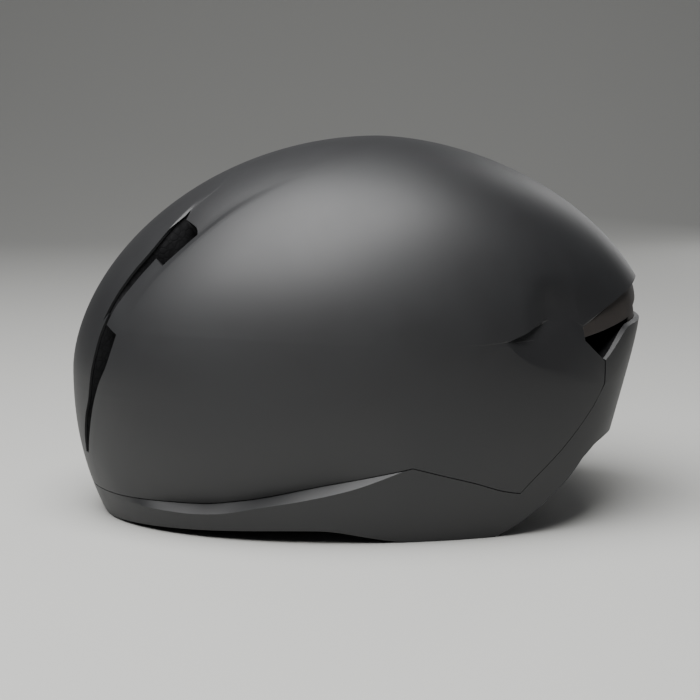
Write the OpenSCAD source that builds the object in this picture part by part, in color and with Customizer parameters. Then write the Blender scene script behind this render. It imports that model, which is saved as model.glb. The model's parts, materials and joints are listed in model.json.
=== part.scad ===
// Aero road bike helmet, size M, as an assembly of its real pieces.
// The front of the helmet looks along -Y, its left side is +X, up is +Z.
// The origin lies under the middle of the helmet on the surface that it stands on.

/* [Outer form] */
// Height of the crown above the surface the helmet stands on
crown_z = 174.8; // [160:0.2:190]
// Height of the widest level of the helmet
belt_z = 66.5; // [58:0.5:76]
// Half of the largest width
half_width = 103; // [98:0.5:112]
// Reach of the form in front of the crown centre
front_reach = 144.6; // [138:0.2:154]
// Reach of the form behind the crown centre
rear_reach = 137.5; // [130:0.5:146]
// Distance of the crown centre behind the origin
crown_y = 10.4; // [7:0.2:13]
// How far the brow is drawn in at the rim
brow_tuck = 14; // [8:0.5:18]
// How far each side is drawn in at the rim
side_tuck = 11.8; // [6:0.2:14]
// Reach of the lower tail behind the crown centre, at a height of 60
lobe_reach = 112.3; // [109:0.1:116]
// How far the lower tail leans back for each unit of height
lobe_lean = 0.3; // [0.1:0.05:0.4]
// Depth of the recess between the upper and lower tail
tail_recess = 9; // [6:0.5:11]
// Largest depth of the ledge crease above the front of the lower shell
ledge_depth = 6; // [2:0.5:8]
// Depth of the front air channels where the crown takes over
channel_depth = 4.5; // [2:0.25:6]

/* [Shells and liner] */
// Wall of the outer plastic shells
shell_wall = 1.2; // [0.8:0.1:1.6]
// Space between a shell and the foam behind it
bond_gap = 0.3; // [0.2:0.05:0.5]
// Hairline gap along the seam of the two shells
seam_gap = 0.4; // [0.2:0.1:0.8]
// Distance of the head cavity's middle behind the origin
head_y = -1.8; // [-3:0.2:0]
// Half width of the head cavity
cavity_x = 83; // [80:0.5:84]
// Half length of the head cavity
cavity_y = 104; // [100:0.5:105]
// Height of the head cavity above its widest level
cavity_h = 110; // [100:0.5:114]
// Height of the widest level of the head cavity
cavity_z = 28; // [24:0.5:32]

/* [Pads] */
// Thickness of the brow pad
brow_pad_t = 6; // [4:0.5:8]
// Thickness of the crown and side pads
crown_pad_t = 7; // [4:0.5:9]
// Thickness of the pads on the rear cradle
cradle_pad_t = 4; // [3:0.5:6]
// Diameter of a hook patch that holds a pad
hook_d = 18; // [12:1:22]
// Thickness of a hook patch
hook_t = 0.8; // [0.6:0.1:1.2]

/* [Headband] */
// Thickness of the headband strips
band_t = 1.3; // [1:0.1:1.5]
// Height of the headband strips
band_h = 15; // [14.4:0.2:17]
// Half width of the headband loop
band_x = 68; // [67:0.5:69]
// Distance of the brow pin in front of the origin
pin_y = 100.3; // [99.5:0.1:101]
// Radius of the headband round the brow
brow_r = 52; // [48:1:56]
// Diameter of the brow pin
pin_d = 2.6; // [2:0.2:3]
// Radius of the inner rack about the brow pin
rack_r = 181.8; // [180:0.2:183]
// Height of the headband's middle line
band_z = 28; // [27:0.5:30]
// Radial step from the inner rack to the outer rack
rack_step = 1.9; // [1.8:0.05:2.2]
// Radius of the corner between the headband's side and its rack
corner_r = 41; // [38:0.5:42]

/* [Fit dial] */
// Number of teeth on the drive pinion
pinion_teeth = 8; // [8:1:9]
// Module of the pinion and rack teeth
tooth_module = 1; // [0.9:0.05:1]
// Diameter of the dial knob
dial_d = 30; // [26:1:32]
// Thickness of the dial knob
dial_t = 8; // [6:0.5:9]
// Number of grip lobes round the dial
dial_lobes = 12; // [8:1:18]
// Diameter of the dial's shaft
shaft_d = 6; // [5:0.2:6.6]
// Half width of the cradle case
case_x = 26; // [24:0.5:27]
// Wall of the cradle case
case_wall = 2; // [1.6:0.1:2.4]
// Running clearance of parts that turn or slide
run_gap = 0.3; // [0.2:0.05:0.4]

/* [Height hanger] */
// Width of the height stem
stem_w = 14; // [10:0.5:16]
// Thickness of the height stem
stem_t = 2; // [1.6:0.1:2.4]
// Height of the hanger's socket
socket_h = 11; // [9:0.5:13]

/* [Straps] */
// Width of the strap webbing
strap_w = 15; // [12:0.5:16]
// Thickness of the strap webbing
strap_t = 1.5; // [1.2:0.1:1.8]
// Travel of the buckle plug out of its socket
plug_travel = 16; // [14:1:18]

/* [Hidden] */
$fn = 64;
SHELL_BLACK = [0.13, 0.135, 0.14];
FOAM_GREY = [0.2, 0.2, 0.21];
PAD_GREY = [0.16, 0.16, 0.17];
PLASTIC = [0.1, 0.1, 0.11];
WEBBING = [0.08, 0.08, 0.085];
STEEL = [0.7, 0.7, 0.72];

// Share of the way from the belt up to the crown, and down to the rim
function up_share(z) = min(1, max(0, (z - belt_z) / (crown_z - belt_z)));
function down_share(z) = min(1, max(0, (belt_z - z) / belt_z));

// Reach of the form to the front, to the rear and to the side at a height
function reach_f(z) = front_reach * pow(1 - pow(up_share(z), 1.77), 1 / 1.98)
    - brow_tuck * pow(down_share(z), 2.3);
function reach_r(z) = rear_reach * pow(1 - pow(up_share(z), 1.95), 1 / 1.75);
function reach_s(z) = half_width * pow(1 - pow(up_share(z), 2.3), 1 / 2.3)
    - side_tuck * pow(down_share(z), 2.2);

// Distance of the form from the crown's axis, in the direction a, at height z
function oval(a, fr, sd) = 1 / sqrt(pow(sin(a) / sd, 2) + pow(cos(a) / fr, 2));
function upper_r(a, z) = oval(a, cos(a) > 0 ? reach_f(z) : reach_r(z), reach_s(z));
LOBE_N = 2.6;
function lobe_r(a, z) = pow(pow(sin(a) / (half_width + 7), LOBE_N)
    + pow(abs(cos(a)) / (lobe_reach + lobe_lean * (z - 60)), LOBE_N), -1 / LOBE_N);
BLEND = 3;
function lower_r(a, z) = cos(a) > 0 ? upper_r(a, z)
    : -BLEND * ln(exp(-upper_r(a, z) / BLEND) + exp(-lobe_r(a, z) / BLEND));

// Feature lines round the helmet as pairs of direction and height.
// Direction 0 is the front, 90 a side and 180 the rear.
RIM = [[0, 0], [8.5, 0], [16, 0.8], [35, 3], [66, 6], [80, 2], [87, 0], [112.5, 0], [117, 4], [121, 9],
    [126, 17], [130, 24], [134, 33], [139, 39], [145, 41], [180, 42]];
LEDGE = [[0, 8], [23, 11.5], [37, 11], [44, 12], [53, 16], [65, 21], [75, 26], [85, 33],
    [88, 33.5], [97, 14], [112.5, 10], [121, 18], [130, 36], [139, 49], [180, 54]];
SEAM = [[0, 16], [24, 16], [38, 17], [49, 20], [65.5, 27], [77.5, 31], [88, 35], [97, 30.5],
    [104, 27], [112.5, 22], [117, 20], [121, 28], [126, 37], [130, 48], [134, 56],
    [139, 62], [180, 66]];
GILL_LOW = [[0, 60], [88, 66], [104, 82], [108, 85.5], [112.5, 82], [121, 76], [126, 73],
    [134, 68], [139, 76], [151, 90], [180, 92]];
LIP = [[0, 95], [20, 93], [60, 90], [104, 88], [108, 88.4], [112.5, 89], [121, 92.5],
    [126, 94.5], [130, 95], [134, 92.5], [139, 97], [145, 101], [151, 104], [165, 108.5],
    [180, 110]];
GILL_DEPTH = [[0, 0], [108, 0], [121, 0.4], [134, 1], [180, 1]];
CREASE = [[0, 0], [23, 0], [38, 0.67], [50, 1], [65, 0.83], [77, 0.4], [88, 0], [180, 0]];

// Edges of the front spine and of the air channel beside it, by height
SPINE = [[0, 3], [20, 4], [27, 4.7], [49, 8.1], [57, 10.1], [70, 11.7], [88, 12.1],
    [95, 13.1], [109, 15], [119, 14.5], [140, 16.2], [150, 12.3], [155, 6.7], [161, 3],
    [175, 3]];
CHANNEL = [[0, 8], [27, 8.3], [37, 10.5], [42, 12.1], [57, 14], [66, 15.4], [82, 18.3],
    [99, 21.3], [119, 25.4], [133, 29.5], [148, 36.9], [159, 43.2], [175, 44]];
CHANNEL_FLOOR = [[0, 0], [90, 0], [95, 0.4], [119, 1], [136, 1], [150, 0.5], [160, 0],
    [175, 0]];
STEP_DEG = 0.9;
SLOT_DEG = 1.8;
CREASE_FADE = 35;

// Rows of the form from the rim to the crown
CROWN_ROWS = 11;
ROWS = 10 + CROWN_ROWS;
function mix(a, b, t) = a + (b - a) * t;
function row_z(i, a) =
    i == 0 ? lookup(a, RIM)
    : i == 1 ? lookup(a, LEDGE)
    : i <= 5 ? mix(lookup(a, SEAM), lookup(a, GILL_LOW), (i - 2) / 3)
    : i == 6 ? lookup(a, GILL_LOW) + 0.6
    : i == 7 ? mix(lookup(a, GILL_LOW), lookup(a, LIP), 0.5)
    : i == 8 ? lookup(a, LIP) - 1
    : mix(lookup(a, LIP), crown_z, sin(90 * (i - 9) / (CROWN_ROWS + 1)));

// Columns from the front over the left side to the rear
SIDE_COLS = 8;
REAR_COLS = [97, 104, 108, 112.5, 117, 121, 126, 130, 134, 139, 145, 151, 157, 165, 173, 180];
HALF_COLS = 7 + SIDE_COLS + len(REAR_COLS) - 1;
COLS = 2 * HALF_COLS;
SIDE_DEG = 88;
function col_a(j, z) =
    let (s = lookup(z, SPINE), c = lookup(z, CHANNEL))
    j == 0 ? 0
    : j == 1 ? s / 2
    : j == 2 ? s
    : j == 3 ? s + STEP_DEG
    : j == 4 ? s + STEP_DEG + min(SLOT_DEG, (c - s - 2 * STEP_DEG) / 2)
    : j == 5 ? c - STEP_DEG
    : j == 6 ? c
    : j < 7 + SIDE_COLS ? mix(c, SIDE_DEG, (j - 6) / SIDE_COLS)
    : REAR_COLS[j - 7 - SIDE_COLS];

// How far a point of the grid lies behind the plain form
function inset(i, j, a, z) =
    (i >= 2 && i <= 5 && z < lookup(a, SEAM) + CREASE_FADE
        ? ledge_depth * lookup(a, CREASE)
            * pow(1 - (z - lookup(a, SEAM)) / CREASE_FADE, 2) : 0)
    + (i == 7 ? tail_recess * lookup(a, GILL_DEPTH) * (a < 134 ? 0.5 : 1) : 0)
    + (i == 8 ? tail_recess * lookup(a, GILL_DEPTH) : 0)
    + (i == 6 && a >= 139 ? tail_recess : 0)
    + (i > 8 && (j == 3 || j == 4 || j == 5)
        ? channel_depth * lookup(z, CHANNEL_FLOOR) : 0);

// One point of the outer form
function form_pt(i, j, lift = 0) =
    let (h = j <= HALF_COLS ? j : COLS - j)
    let (z0 = row_z(i, h < 7 ? 15 : h < 7 + SIDE_COLS
        ? mix(15, SIDE_DEG, (h - 6) / SIDE_COLS) : REAR_COLS[h - 7 - SIDE_COLS]))
    let (a = col_a(h, z0))
    let (z = z0 + lift)
    let (r = (i > 8 ? upper_r(a, z) : lower_r(a, z)) - inset(i, h, a, z))
    [(j <= HALF_COLS ? 1 : -1) * r * sin(a), crown_y - r * cos(a), z];

function unit(v) = v / max(norm(v), 1e-9);
function wrap(j) = (j + COLS) % COLS;
// Outward direction at a grid point; flat along the rim so that the rim stays level
function form_normal(i, j) =
    let (du = form_pt(i, wrap(j + 1)) - form_pt(i, wrap(j - 1)))
    let (dv = form_pt(min(i + 1, ROWS - 1), j) - form_pt(max(i - 1, 0), j))
    let (n = unit(cross(du, dv)))
    i == 0 ? unit([n[0], n[1], 0]) : n;
function depth_pt(i, j, d, lift = 0) = form_pt(i, j, lift) - d * form_normal(i, j);

// Matching point on the wall of the head cavity: a dome over an upright oval
CAVITY_SEMI = [cavity_x, cavity_y, cavity_h];
CAVITY_C = [0, head_y, cavity_z];
function cavity_pt(p) =
    let (d = p - CAVITY_C)
    let (flat = norm([d[0] / CAVITY_SEMI[0], d[1] / CAVITY_SEMI[1]]))
    let (round = norm([flat, d[2] / CAVITY_SEMI[2]]))
    d[2] > 0 ? CAVITY_C + d / round : CAVITY_C + [d[0] / flat, d[1] / flat, d[2]];

// Which cells of the grid belong to a piece; h counts from the front to the rear
function half_cell(j) = j < HALF_COLS ? j : COLS - 1 - j;
REAR_VENT_FROM = 7 + SIDE_COLS + 8;
SEAM_END = REAR_VENT_FROM + 1;
function front_vent(i, h) =
    (h == 3 || h == 4) && ((i >= 3 && i <= 7) || i == 11 || i == 12)
    || h == 3 && i >= 8 && i <= 10;
function tail_band(i, h) = (i == 6 || i == 7) && h >= REAR_VENT_FROM || i == 5 && h >= SEAM_END;
function exhaust(i, h) = i == 6
    && (h >= REAR_VENT_FROM && h <= REAR_VENT_FROM + 2
        || h == REAR_VENT_FROM + 4 || h == REAR_VENT_FROM + 5);
function in_lower(i, h) = i < 2 || (i < 6 && h >= SEAM_END);
function in_upper(i, h) = !in_lower(i, h) && !front_vent(i, h) && !tail_band(i, h);
function in_insert(i, h) = (i == 6 || i == 7) && h >= REAR_VENT_FROM && !exhaust(i, h);
FOAM_SPLIT = 5;
function in_foam(i, h) = !front_vent(i, h) && !exhaust(i, h);
function kept(piece, i, j) =
    let (h = half_cell(wrap(j)))
    i < 0 || i > ROWS - 1 ? false
    : piece == "upper" ? in_upper(i, h)
    : piece == "lower" ? in_lower(i, h)
    : piece == "insert" ? in_insert(i, h)
    : piece == "foam_crown" ? i >= FOAM_SPLIT && in_foam(i, h)
    : i < FOAM_SPLIT && in_foam(i, h);

// Closed wall between an outer and an inner grid, over the kept cells only.
// Each grid has ROWS rings of COLS points and one point at the crown.
PER = ROWS * COLS + 1;
function at(side, i, j) = side * PER + (i >= ROWS ? ROWS * COLS : i * COLS + wrap(j));
function quad(a, b, c, d) = [[a, b, c], [a, c, d]];
function cell_faces(i, j) = i == ROWS - 1
    ? [[at(0, i, j), at(0, i, j + 1), at(0, ROWS, 0)],
        [at(1, i, j + 1), at(1, i, j), at(1, ROWS, 0)]]
    : concat(quad(at(0, i, j), at(0, i, j + 1), at(0, i + 1, j + 1), at(0, i + 1, j)),
        quad(at(1, i, j), at(1, i + 1, j), at(1, i + 1, j + 1), at(1, i, j + 1)));
function edge_faces(piece, i, j) = concat(
    kept(piece, i - 1, j) ? [] : quad(at(0, i, j + 1), at(0, i, j), at(1, i, j), at(1, i, j + 1)),
    i + 1 >= ROWS || kept(piece, i + 1, j) ? []
        : quad(at(0, i + 1, j + 1), at(1, i + 1, j + 1), at(1, i + 1, j), at(0, i + 1, j)),
    kept(piece, i, j - 1) ? [] : quad(at(0, i, j), at(0, i + 1, j), at(1, i + 1, j), at(1, i, j)),
    kept(piece, i, j + 1) ? []
        : quad(at(1, i + 1, j + 1), at(0, i + 1, j + 1), at(0, i, j + 1), at(1, i, j + 1)));
module form_wall(piece, outer, inner) {
    cells = [for (i = [0 : ROWS - 1], j = [0 : COLS - 1]) if (kept(piece, i, j)) [i, j]];
    faces = [for (c = cells) for (f = concat(cell_faces(c[0], c[1]),
        edge_faces(piece, c[0], c[1]))) [f[2], f[1], f[0]]];
    polyhedron(points = concat(outer, inner), faces = faces, convexity = 10);
}
function crown_pt(d) = [0, crown_y, crown_z - d];
// Rows at the seam move apart by the seam gap, and the foam stays clear of the ledge's crease
CREASE_FIT = 1.4;
function seam_lift(piece, i) = i == 2 && piece == "lower" ? -seam_gap : 0;
function crease_fit(piece, i, j) = piece == "foam_ring" && (i == 1 || i == 2)
    ? CREASE_FIT * lookup(col_a(j <= HALF_COLS ? j : COLS - j, 20), CREASE) : 0;
function form_grid(piece, d) = concat([for (i = [0 : ROWS - 1], j = [0 : COLS - 1])
    depth_pt(i, j, d + crease_fit(piece, i, j), seam_lift(piece, i))], [crown_pt(d)]);
function cavity_grid(piece, d) = [for (p = form_grid(piece, d)) cavity_pt(p)];

module outer_shell() {
    color(SHELL_BLACK)
        form_wall("upper", form_grid("upper", 0), form_grid("upper", shell_wall));
}

module lower_shell() {
    color(SHELL_BLACK)
        form_wall("lower", form_grid("lower", 0), form_grid("lower", shell_wall));
}

module tail_insert() {
    color(PLASTIC)
        form_wall("insert", form_grid("insert", 0), form_grid("insert", shell_wall));
}

// The foam lies behind the shells, by their wall and the bond gap. It is moulded as a ring
// that holds the anchors and a crown that is bonded on it along the height of the gill.
FOAM_D = shell_wall + bond_gap;
module foam_liner() {
    color(FOAM_GREY)
        form_wall("foam_ring", form_grid("foam_ring", FOAM_D), cavity_grid("foam_ring", FOAM_D));
}
module foam_crown() {
    color(FOAM_GREY)
        form_wall("foam_crown", form_grid("foam_crown", FOAM_D),
            cavity_grid("foam_crown", FOAM_D));
}

// Cushions that lie on the wall of the head cavity.
// Each is a row of rings: share of the footprint, then share of the thickness.
PAD_RINGS = [[0.55, 0], [0.9, 0], [1, 0.22], [1.02, 0.5], [0.93, 0.82], [0.7, 0.96], [0.36, 1]];
PAD_SIDES = 24;
HOOK_SEAT = 1.5;
PAD_SEAT = HOOK_SEAT + hook_t + run_gap;
function sign_pow(v, e) = (v < 0 ? -1 : 1) * pow(abs(v), e);
function foot(k) = let (a = 360 * k / PAD_SIDES) [sign_pow(cos(a), 0.62), sign_pow(sin(a), 0.62)];
function cavity_at(d) = CAVITY_C + d / norm([for (k = [0 : 2]) d[k] / CAVITY_SEMI[k]]);
function cavity_out(p) = unit([for (k = [0 : 2]) (p[k] - CAVITY_C[k]) / pow(CAVITY_SEMI[k], 2)]);
function pad_pt(dir, e1, e2, hu, hv, r, f, depth) =
    let (p = cavity_at(dir + e1 * hu * r * f[0] + e2 * hv * r * f[1]))
    p - cavity_out(p) * depth;
function ring_faces(rings, n) = concat(
    [for (k = [0 : n - 1]) [0, 1 + (k + 1) % n, 1 + k]],
    [for (i = [0 : rings - 2], k = [0 : n - 1])
        for (f = quad(1 + i * n + k, 1 + i * n + (k + 1) % n,
            1 + (i + 1) * n + (k + 1) % n, 1 + (i + 1) * n + k)) f],
    [for (k = [0 : n - 1]) [1 + rings * n, 1 + (rings - 1) * n + k,
        1 + (rings - 1) * n + (k + 1) % n]]);
module cavity_pad(dir, e1, e2, hu, hv, t) {
    pts = concat(
        [pad_pt(dir, e1, e2, hu, hv, 0, [0, 0], PAD_SEAT)],
        [for (q = PAD_RINGS, k = [0 : PAD_SIDES - 1])
            pad_pt(dir, e1, e2, hu, hv, q[0], foot(k), PAD_SEAT + t * q[1])],
        [pad_pt(dir, e1, e2, hu, hv, 0, [0, 0], PAD_SEAT + t)]);
    color(PAD_GREY) polyhedron(points = pts, faces = ring_faces(len(PAD_RINGS), PAD_SIDES));
}
BROW_DIR = [0, -1, 0.24];
CROWN_DIR = [0, -0.1, 1];
CROWN_SIDE_DIR = [0.66, -0.05, 1];
SIDE_DIR = [1, -0.05, 0.44];
function flip(v) = [-v[0], v[1], v[2]];
module brow_pad() {
    cavity_pad(BROW_DIR, [1, 0, 0], [0, 0, 1], 0.72, 0.1, brow_pad_t);
}
module crown_pad() {
    cavity_pad(CROWN_DIR, [1, 0, 0], [0, 1, 0], 0.15, 0.42, crown_pad_t);
}
module crown_pad_left() {
    cavity_pad(CROWN_SIDE_DIR, [1, 0, -0.66], [0, 1, 0], 0.13, 0.46, crown_pad_t);
}
module crown_pad_right() {
    mirror([1, 0, 0]) crown_pad_left();
}
module side_pad_left() {
    cavity_pad(SIDE_DIR, [0, 1, 0], [-0.44, 0, 1], 0.4, 0.13, crown_pad_t);
}
module side_pad_right() {
    mirror([1, 0, 0]) side_pad_left();
}

// Round hook patches on the foam, one or two behind each pad
HOOK_DIRS = [BROW_DIR + [0.45, 0, 0], BROW_DIR - [0.45, 0, 0], CROWN_DIR + [0, 0.24, 0],
    CROWN_DIR - [0, 0.24, 0], CROWN_SIDE_DIR + [0, 0.26, 0], CROWN_SIDE_DIR - [0, 0.26, 0],
    flip(CROWN_SIDE_DIR) + [0, 0.26, 0], flip(CROWN_SIDE_DIR) - [0, 0.26, 0], SIDE_DIR,
    flip(SIDE_DIR)];
module pad_hooks() {
    color(WEBBING) for (v = HOOK_DIRS) {
        p = cavity_at(v);
        d = cavity_out(p);
        translate(p - d * (HOOK_SEAT + hook_t)) rotate([0, acos(d[2]), atan2(d[1], d[0])])
            cylinder(d = hook_d, h = hook_t);
    }
}

// The brow pin: both headband halves turn on it, and the whole fit system tilts about it
PIN = [0, -pin_y, band_z];
KNUCKLE_R = pin_d / 2 + 1.2;
PIN_FIT = 0.06;
EAR_T = 2;
EAR_GAP = 0.6;
PIN_HALF = band_h / 2 + EAR_GAP + EAR_T + 0.6;
ROCK = 0.6;
module brow_anchor() {
    plate_y = -pin_y - KNUCKLE_R - 0.8;
    plate_t = 3.4;
    ear_z = band_h / 2 + EAR_GAP;
    color(PLASTIC) {
        translate([-8, plate_y - plate_t, band_z - ear_z - EAR_T])
            cube([16, plate_t, 2 * (ear_z + EAR_T)]);
        for (s = [-1, 1])
            translate([0, 0, band_z + s * (ear_z + EAR_T / 2)])
                difference() {
                    union() {
                        translate([-5, plate_y - 0.5, -EAR_T / 2])
                            cube([10, -pin_y - plate_y + 0.5, EAR_T]);
                        translate([0, -pin_y, -EAR_T / 2]) cylinder(r = 5, h = EAR_T);
                    }
                    for (y = [-ROCK, ROCK])
                        translate([0, -pin_y + y, -EAR_T])
                            cylinder(d = pin_d + 2 * PIN_FIT, h = 2 * EAR_T);
                    translate([-pin_d / 2 - PIN_FIT, -pin_y - ROCK, -EAR_T])
                        cube([pin_d + 2 * PIN_FIT, 2 * ROCK, 2 * EAR_T]);
                }
        translate([0, plate_y - 1, band_z]) rotate([90, 0, 0]) cylinder(d = 9, h = 8);
    }
}
module brow_pin() {
    color(STEEL) translate([0, -pin_y, band_z - PIN_HALF]) cylinder(d = pin_d, h = 2 * PIN_HALF);
}

// One half of the headband, drawn on the left side, with its toothed rack at the rear
PITCH_R = pinion_teeth * tooth_module / 2;
ADDENDUM = 0.8 * tooth_module;
DEDENDUM = 1.2 * tooth_module;
TOOTH_PITCH = PI * tooth_module;
BACKLASH = 0.4;
TOOTH_W = TOOTH_PITCH / 2 - BACKLASH;
FLANK = tan(20);
SWING = 3.64;
RACK_TRAVEL = rack_r * SWING * PI / 180;
RACK_TAIL = 9;
SLOT_END = 5.5;
function arc_pts(c, r, from, to, n) = [for (k = [0 : n])
    let (a = mix(from, to, k / n)) [c[0] + r * cos(a), c[1] + r * sin(a)]];
// The strip bends tightly round the brow, then widely along the side
BROW_TURN = 45;
SIDE_R = (band_x - brow_r * cos(BROW_TURN)) / (1 - cos(BROW_TURN));
BROW_C = [0, -pin_y + brow_r];
SIDE_C = BROW_C + (brow_r - SIDE_R) * [cos(BROW_TURN), -sin(BROW_TURN)];
function join_a(r) = asin((band_x - corner_r) / (r - corner_r));
function corner_c(r) = [band_x - corner_r, -pin_y + (r - corner_r) * cos(join_a(r))];
// One side of the strip, seen from above, from the brow pin to the end of the rack
function band_line(r, off) = concat(arc_pts(BROW_C, brow_r + off, -90, -BROW_TURN, 14),
    arc_pts(SIDE_C, SIDE_R + off, 3 - BROW_TURN, 0, 15),
    arc_pts(corner_c(r), corner_r + off, 0, 90 - join_a(r), 20),
    arc_pts([0, -pin_y], r + off, 90 - join_a(r) + 1, 90 + asin(RACK_TAIL / r), 12));
function back(v) = [for (k = [len(v) - 1 : -1 : 0]) v[k]];
module rack_tooth(r, a, side) {
    base_w = TOOTH_W / 2 + (DEDENDUM + 0.3) * FLANK;
    tip_w = TOOTH_W / 2 - ADDENDUM * FLANK;
    rotate([0, 0, -a]) translate([0, r + band_t / 2 - 0.02, 0]) rotate([90, 0, 0])
        linear_extrude(height = band_t - 0.04)
            polygon([[-base_w, side * (PITCH_R + DEDENDUM + 0.3)],
                [-tip_w, side * (PITCH_R - ADDENDUM)],
                [tip_w, side * (PITCH_R - ADDENDUM)],
                [base_w, side * (PITCH_R + DEDENDUM + 0.3)]]);
}
module headband(r, side) {
    half = band_h / 2;
    rail = PITCH_R + DEDENDUM;
    lap_x = KNUCKLE_R + 1;
    half_z = side > 0 ? -half - 1 : -0.15;
    difference() {
        union() {
            difference() {
                translate([0, 0, band_z - half]) linear_extrude(height = band_h)
                    polygon(concat(band_line(r, band_t / 2), back(band_line(r, -band_t / 2))));
                translate([-1, -pin_y - 3, band_z + half_z]) cube([lap_x + 1, 6, half + 1.15]);
                translate([-SLOT_END, -pin_y + r - 3, band_z - rail])
                    cube([RACK_TRAVEL + 2 * SLOT_END, 6, 2 * rail]);
            }
            translate([0, -pin_y, band_z + (side > 0 ? 0.15 : -half)])
                cylinder(r = KNUCKLE_R, h = half - 0.15);
            translate([0, -pin_y, band_z])
                for (k = [-1 : floor((RACK_TRAVEL + SLOT_END) / TOOTH_PITCH - 0.9)])
                    rack_tooth(r, (k + 0.5) * TOOTH_PITCH / r * 180 / PI, side);
        }
        translate([0, -pin_y, band_z - band_h])
            cylinder(d = pin_d + 2 * PIN_FIT, h = 2 * band_h);
    }
}
RACK_OUT = rack_r + rack_step;
module headband_left() {
    color(PLASTIC) headband(RACK_OUT, 1);
}
module headband_right() {
    color(PLASTIC) mirror([1, 0, 0]) headband(rack_r, -1);
}

// Case of the cradle, with a channel for both racks
CH_IN = rack_r - band_t / 2 - run_gap;
CH_OUT = RACK_OUT + band_t / 2 + run_gap;
CASE_IN = CH_IN - case_wall;
CASE_OUT = CH_OUT + case_wall;
CH_H = band_h / 2 + run_gap;
CASE_H = CH_H + case_wall;
CASE_A = asin(case_x / CASE_OUT);
module case_arc(r0, r1, z0, z1) {
    translate([0, -pin_y, band_z + z0]) rotate([0, 0, 90 - CASE_A])
        rotate_extrude(angle = 2 * CASE_A, $fn = 180) translate([r0, 0]) square([r1 - r0, z1 - z0]);
}
RING_OUT = CASE_H - 0.4;
RING_IN = RING_OUT - 1.2;
RING_H = 2;
RING_FLOOR = 0.4;
CLICKS = 24;
BOSS_R = shaft_d / 2;
function on_axis(r) = [0, -pin_y + r, band_z];
module cradle_case() {
    color(PLASTIC) difference() {
        union() {
            case_arc(CH_OUT, CASE_OUT, -CASE_H, CASE_H);
            for (s = [0, 1]) case_arc(CH_IN, CASE_OUT, s * (CASE_H + CH_H) - CASE_H,
                s * (CASE_H + CH_H) - CH_H);
            translate(on_axis(CASE_OUT + RING_H)) rotate([90, 0, 0])
                cylinder(r = RING_OUT, h = RING_H + 1);
        }
        translate(on_axis(CASE_OUT + RING_H + 1)) rotate([90, 0, 0])
            cylinder(r = RING_IN, h = RING_H + 1 - RING_FLOOR);
        translate(on_axis(CASE_OUT + RING_H + 1)) rotate([90, 0, 0])
            cylinder(r = BOSS_R + PIN_FIT, h = 2 * case_wall + RING_H);
        translate(on_axis(CASE_OUT + RING_H + 1)) rotate([90, 0, 0])
            for (k = [0 : CLICKS - 1])
                rotate([0, 0, 360 * k / CLICKS]) translate([RING_IN, 0, 0])
                    cylinder(r = 0.5, h = RING_H + 1 - RING_FLOOR);
    }
}
module cradle_cover() {
    color(PLASTIC) difference() {
        case_arc(CASE_IN, CH_IN, -CASE_H, CASE_H);
        translate(on_axis(CH_IN + 1)) rotate([90, 0, 0]) cylinder(r = 3.4, h = case_wall + 2);
    }
}

// Cushions on the head side of the cradle
function cradle_pt(x, r, f, depth, hx, hz) =
    let (a = (x + hx * r * f[0]) / CASE_IN * 180 / PI)
    [(CASE_IN - depth) * sin(a), -pin_y + (CASE_IN - depth) * cos(a), band_z + hz * r * f[1]];
module cradle_pad_left() {
    x = case_x / 2 + 1;
    hx = case_x / 2 - 3;
    hz = CASE_H - 0.5;
    pts = concat([cradle_pt(x, 0, [0, 0], 0.3, hx, hz)],
        [for (q = PAD_RINGS, k = [0 : PAD_SIDES - 1])
            cradle_pt(x, q[0], foot(k), 0.3 + cradle_pad_t * q[1], hx, hz)],
        [cradle_pt(x, 0, [0, 0], 0.3 + cradle_pad_t, hx, hz)]);
    color(PAD_GREY) polyhedron(points = pts,
        faces = [for (f = ring_faces(len(PAD_RINGS), PAD_SIDES)) [f[2], f[1], f[0]]]);
}
module cradle_pad_right() {
    mirror([1, 0, 0]) cradle_pad_left();
}

// Dial with its shaft, drive pinion, click disc and screw, all on one axis
DIAL_Y0 = CASE_OUT + run_gap;
STUD_R = 1.8;
SCREW_R = 1;
module dial_knob() {
    color(PLASTIC) difference() {
        union() {
            translate(on_axis(DIAL_Y0 + dial_t)) rotate([90, 0, 0]) cylinder(d = dial_d, h = dial_t);
            translate(on_axis(DIAL_Y0 + 1)) rotate([90, 0, 0])
                cylinder(r = BOSS_R, h = DIAL_Y0 + 1 - CH_OUT);
            translate(on_axis(DIAL_Y0 + dial_t - 1)) rotate([90, 0, 0])
                cylinder(r = BOSS_R, h = dial_t - 1);
            translate(on_axis(CH_OUT + 0.5)) rotate([90, 0, 0])
                cylinder(r = STUD_R, h = CH_OUT + 0.5 - CH_IN - 0.2);
        }
        translate(on_axis(DIAL_Y0 + RING_H + 1)) rotate([90, 0, 0]) difference() {
            cylinder(r = RING_OUT + run_gap + 0.2, h = RING_H + 2);
            translate([0, 0, -1]) cylinder(r = BOSS_R, h = RING_H + 4);
        }
        for (k = [0 : dial_lobes - 1])
            translate(on_axis(DIAL_Y0 + dial_t + 1)) rotate([90, 0, 0])
                rotate([0, 0, 360 * k / dial_lobes])
                    translate([dial_d / 2 + 1.2, 0, 0]) cylinder(r = 2.2, h = dial_t + 2);
        translate(on_axis(DIAL_Y0 + 2)) rotate([90, 0, 0])
            cylinder(r = SCREW_R + 0.04, h = DIAL_Y0 + 3 - CH_IN);
        translate(on_axis(DIAL_Y0 + dial_t + 1)) rotate([90, 0, 0])
            cylinder(r = dial_d / 2 - 5, h = 2);
    }
}
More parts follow.
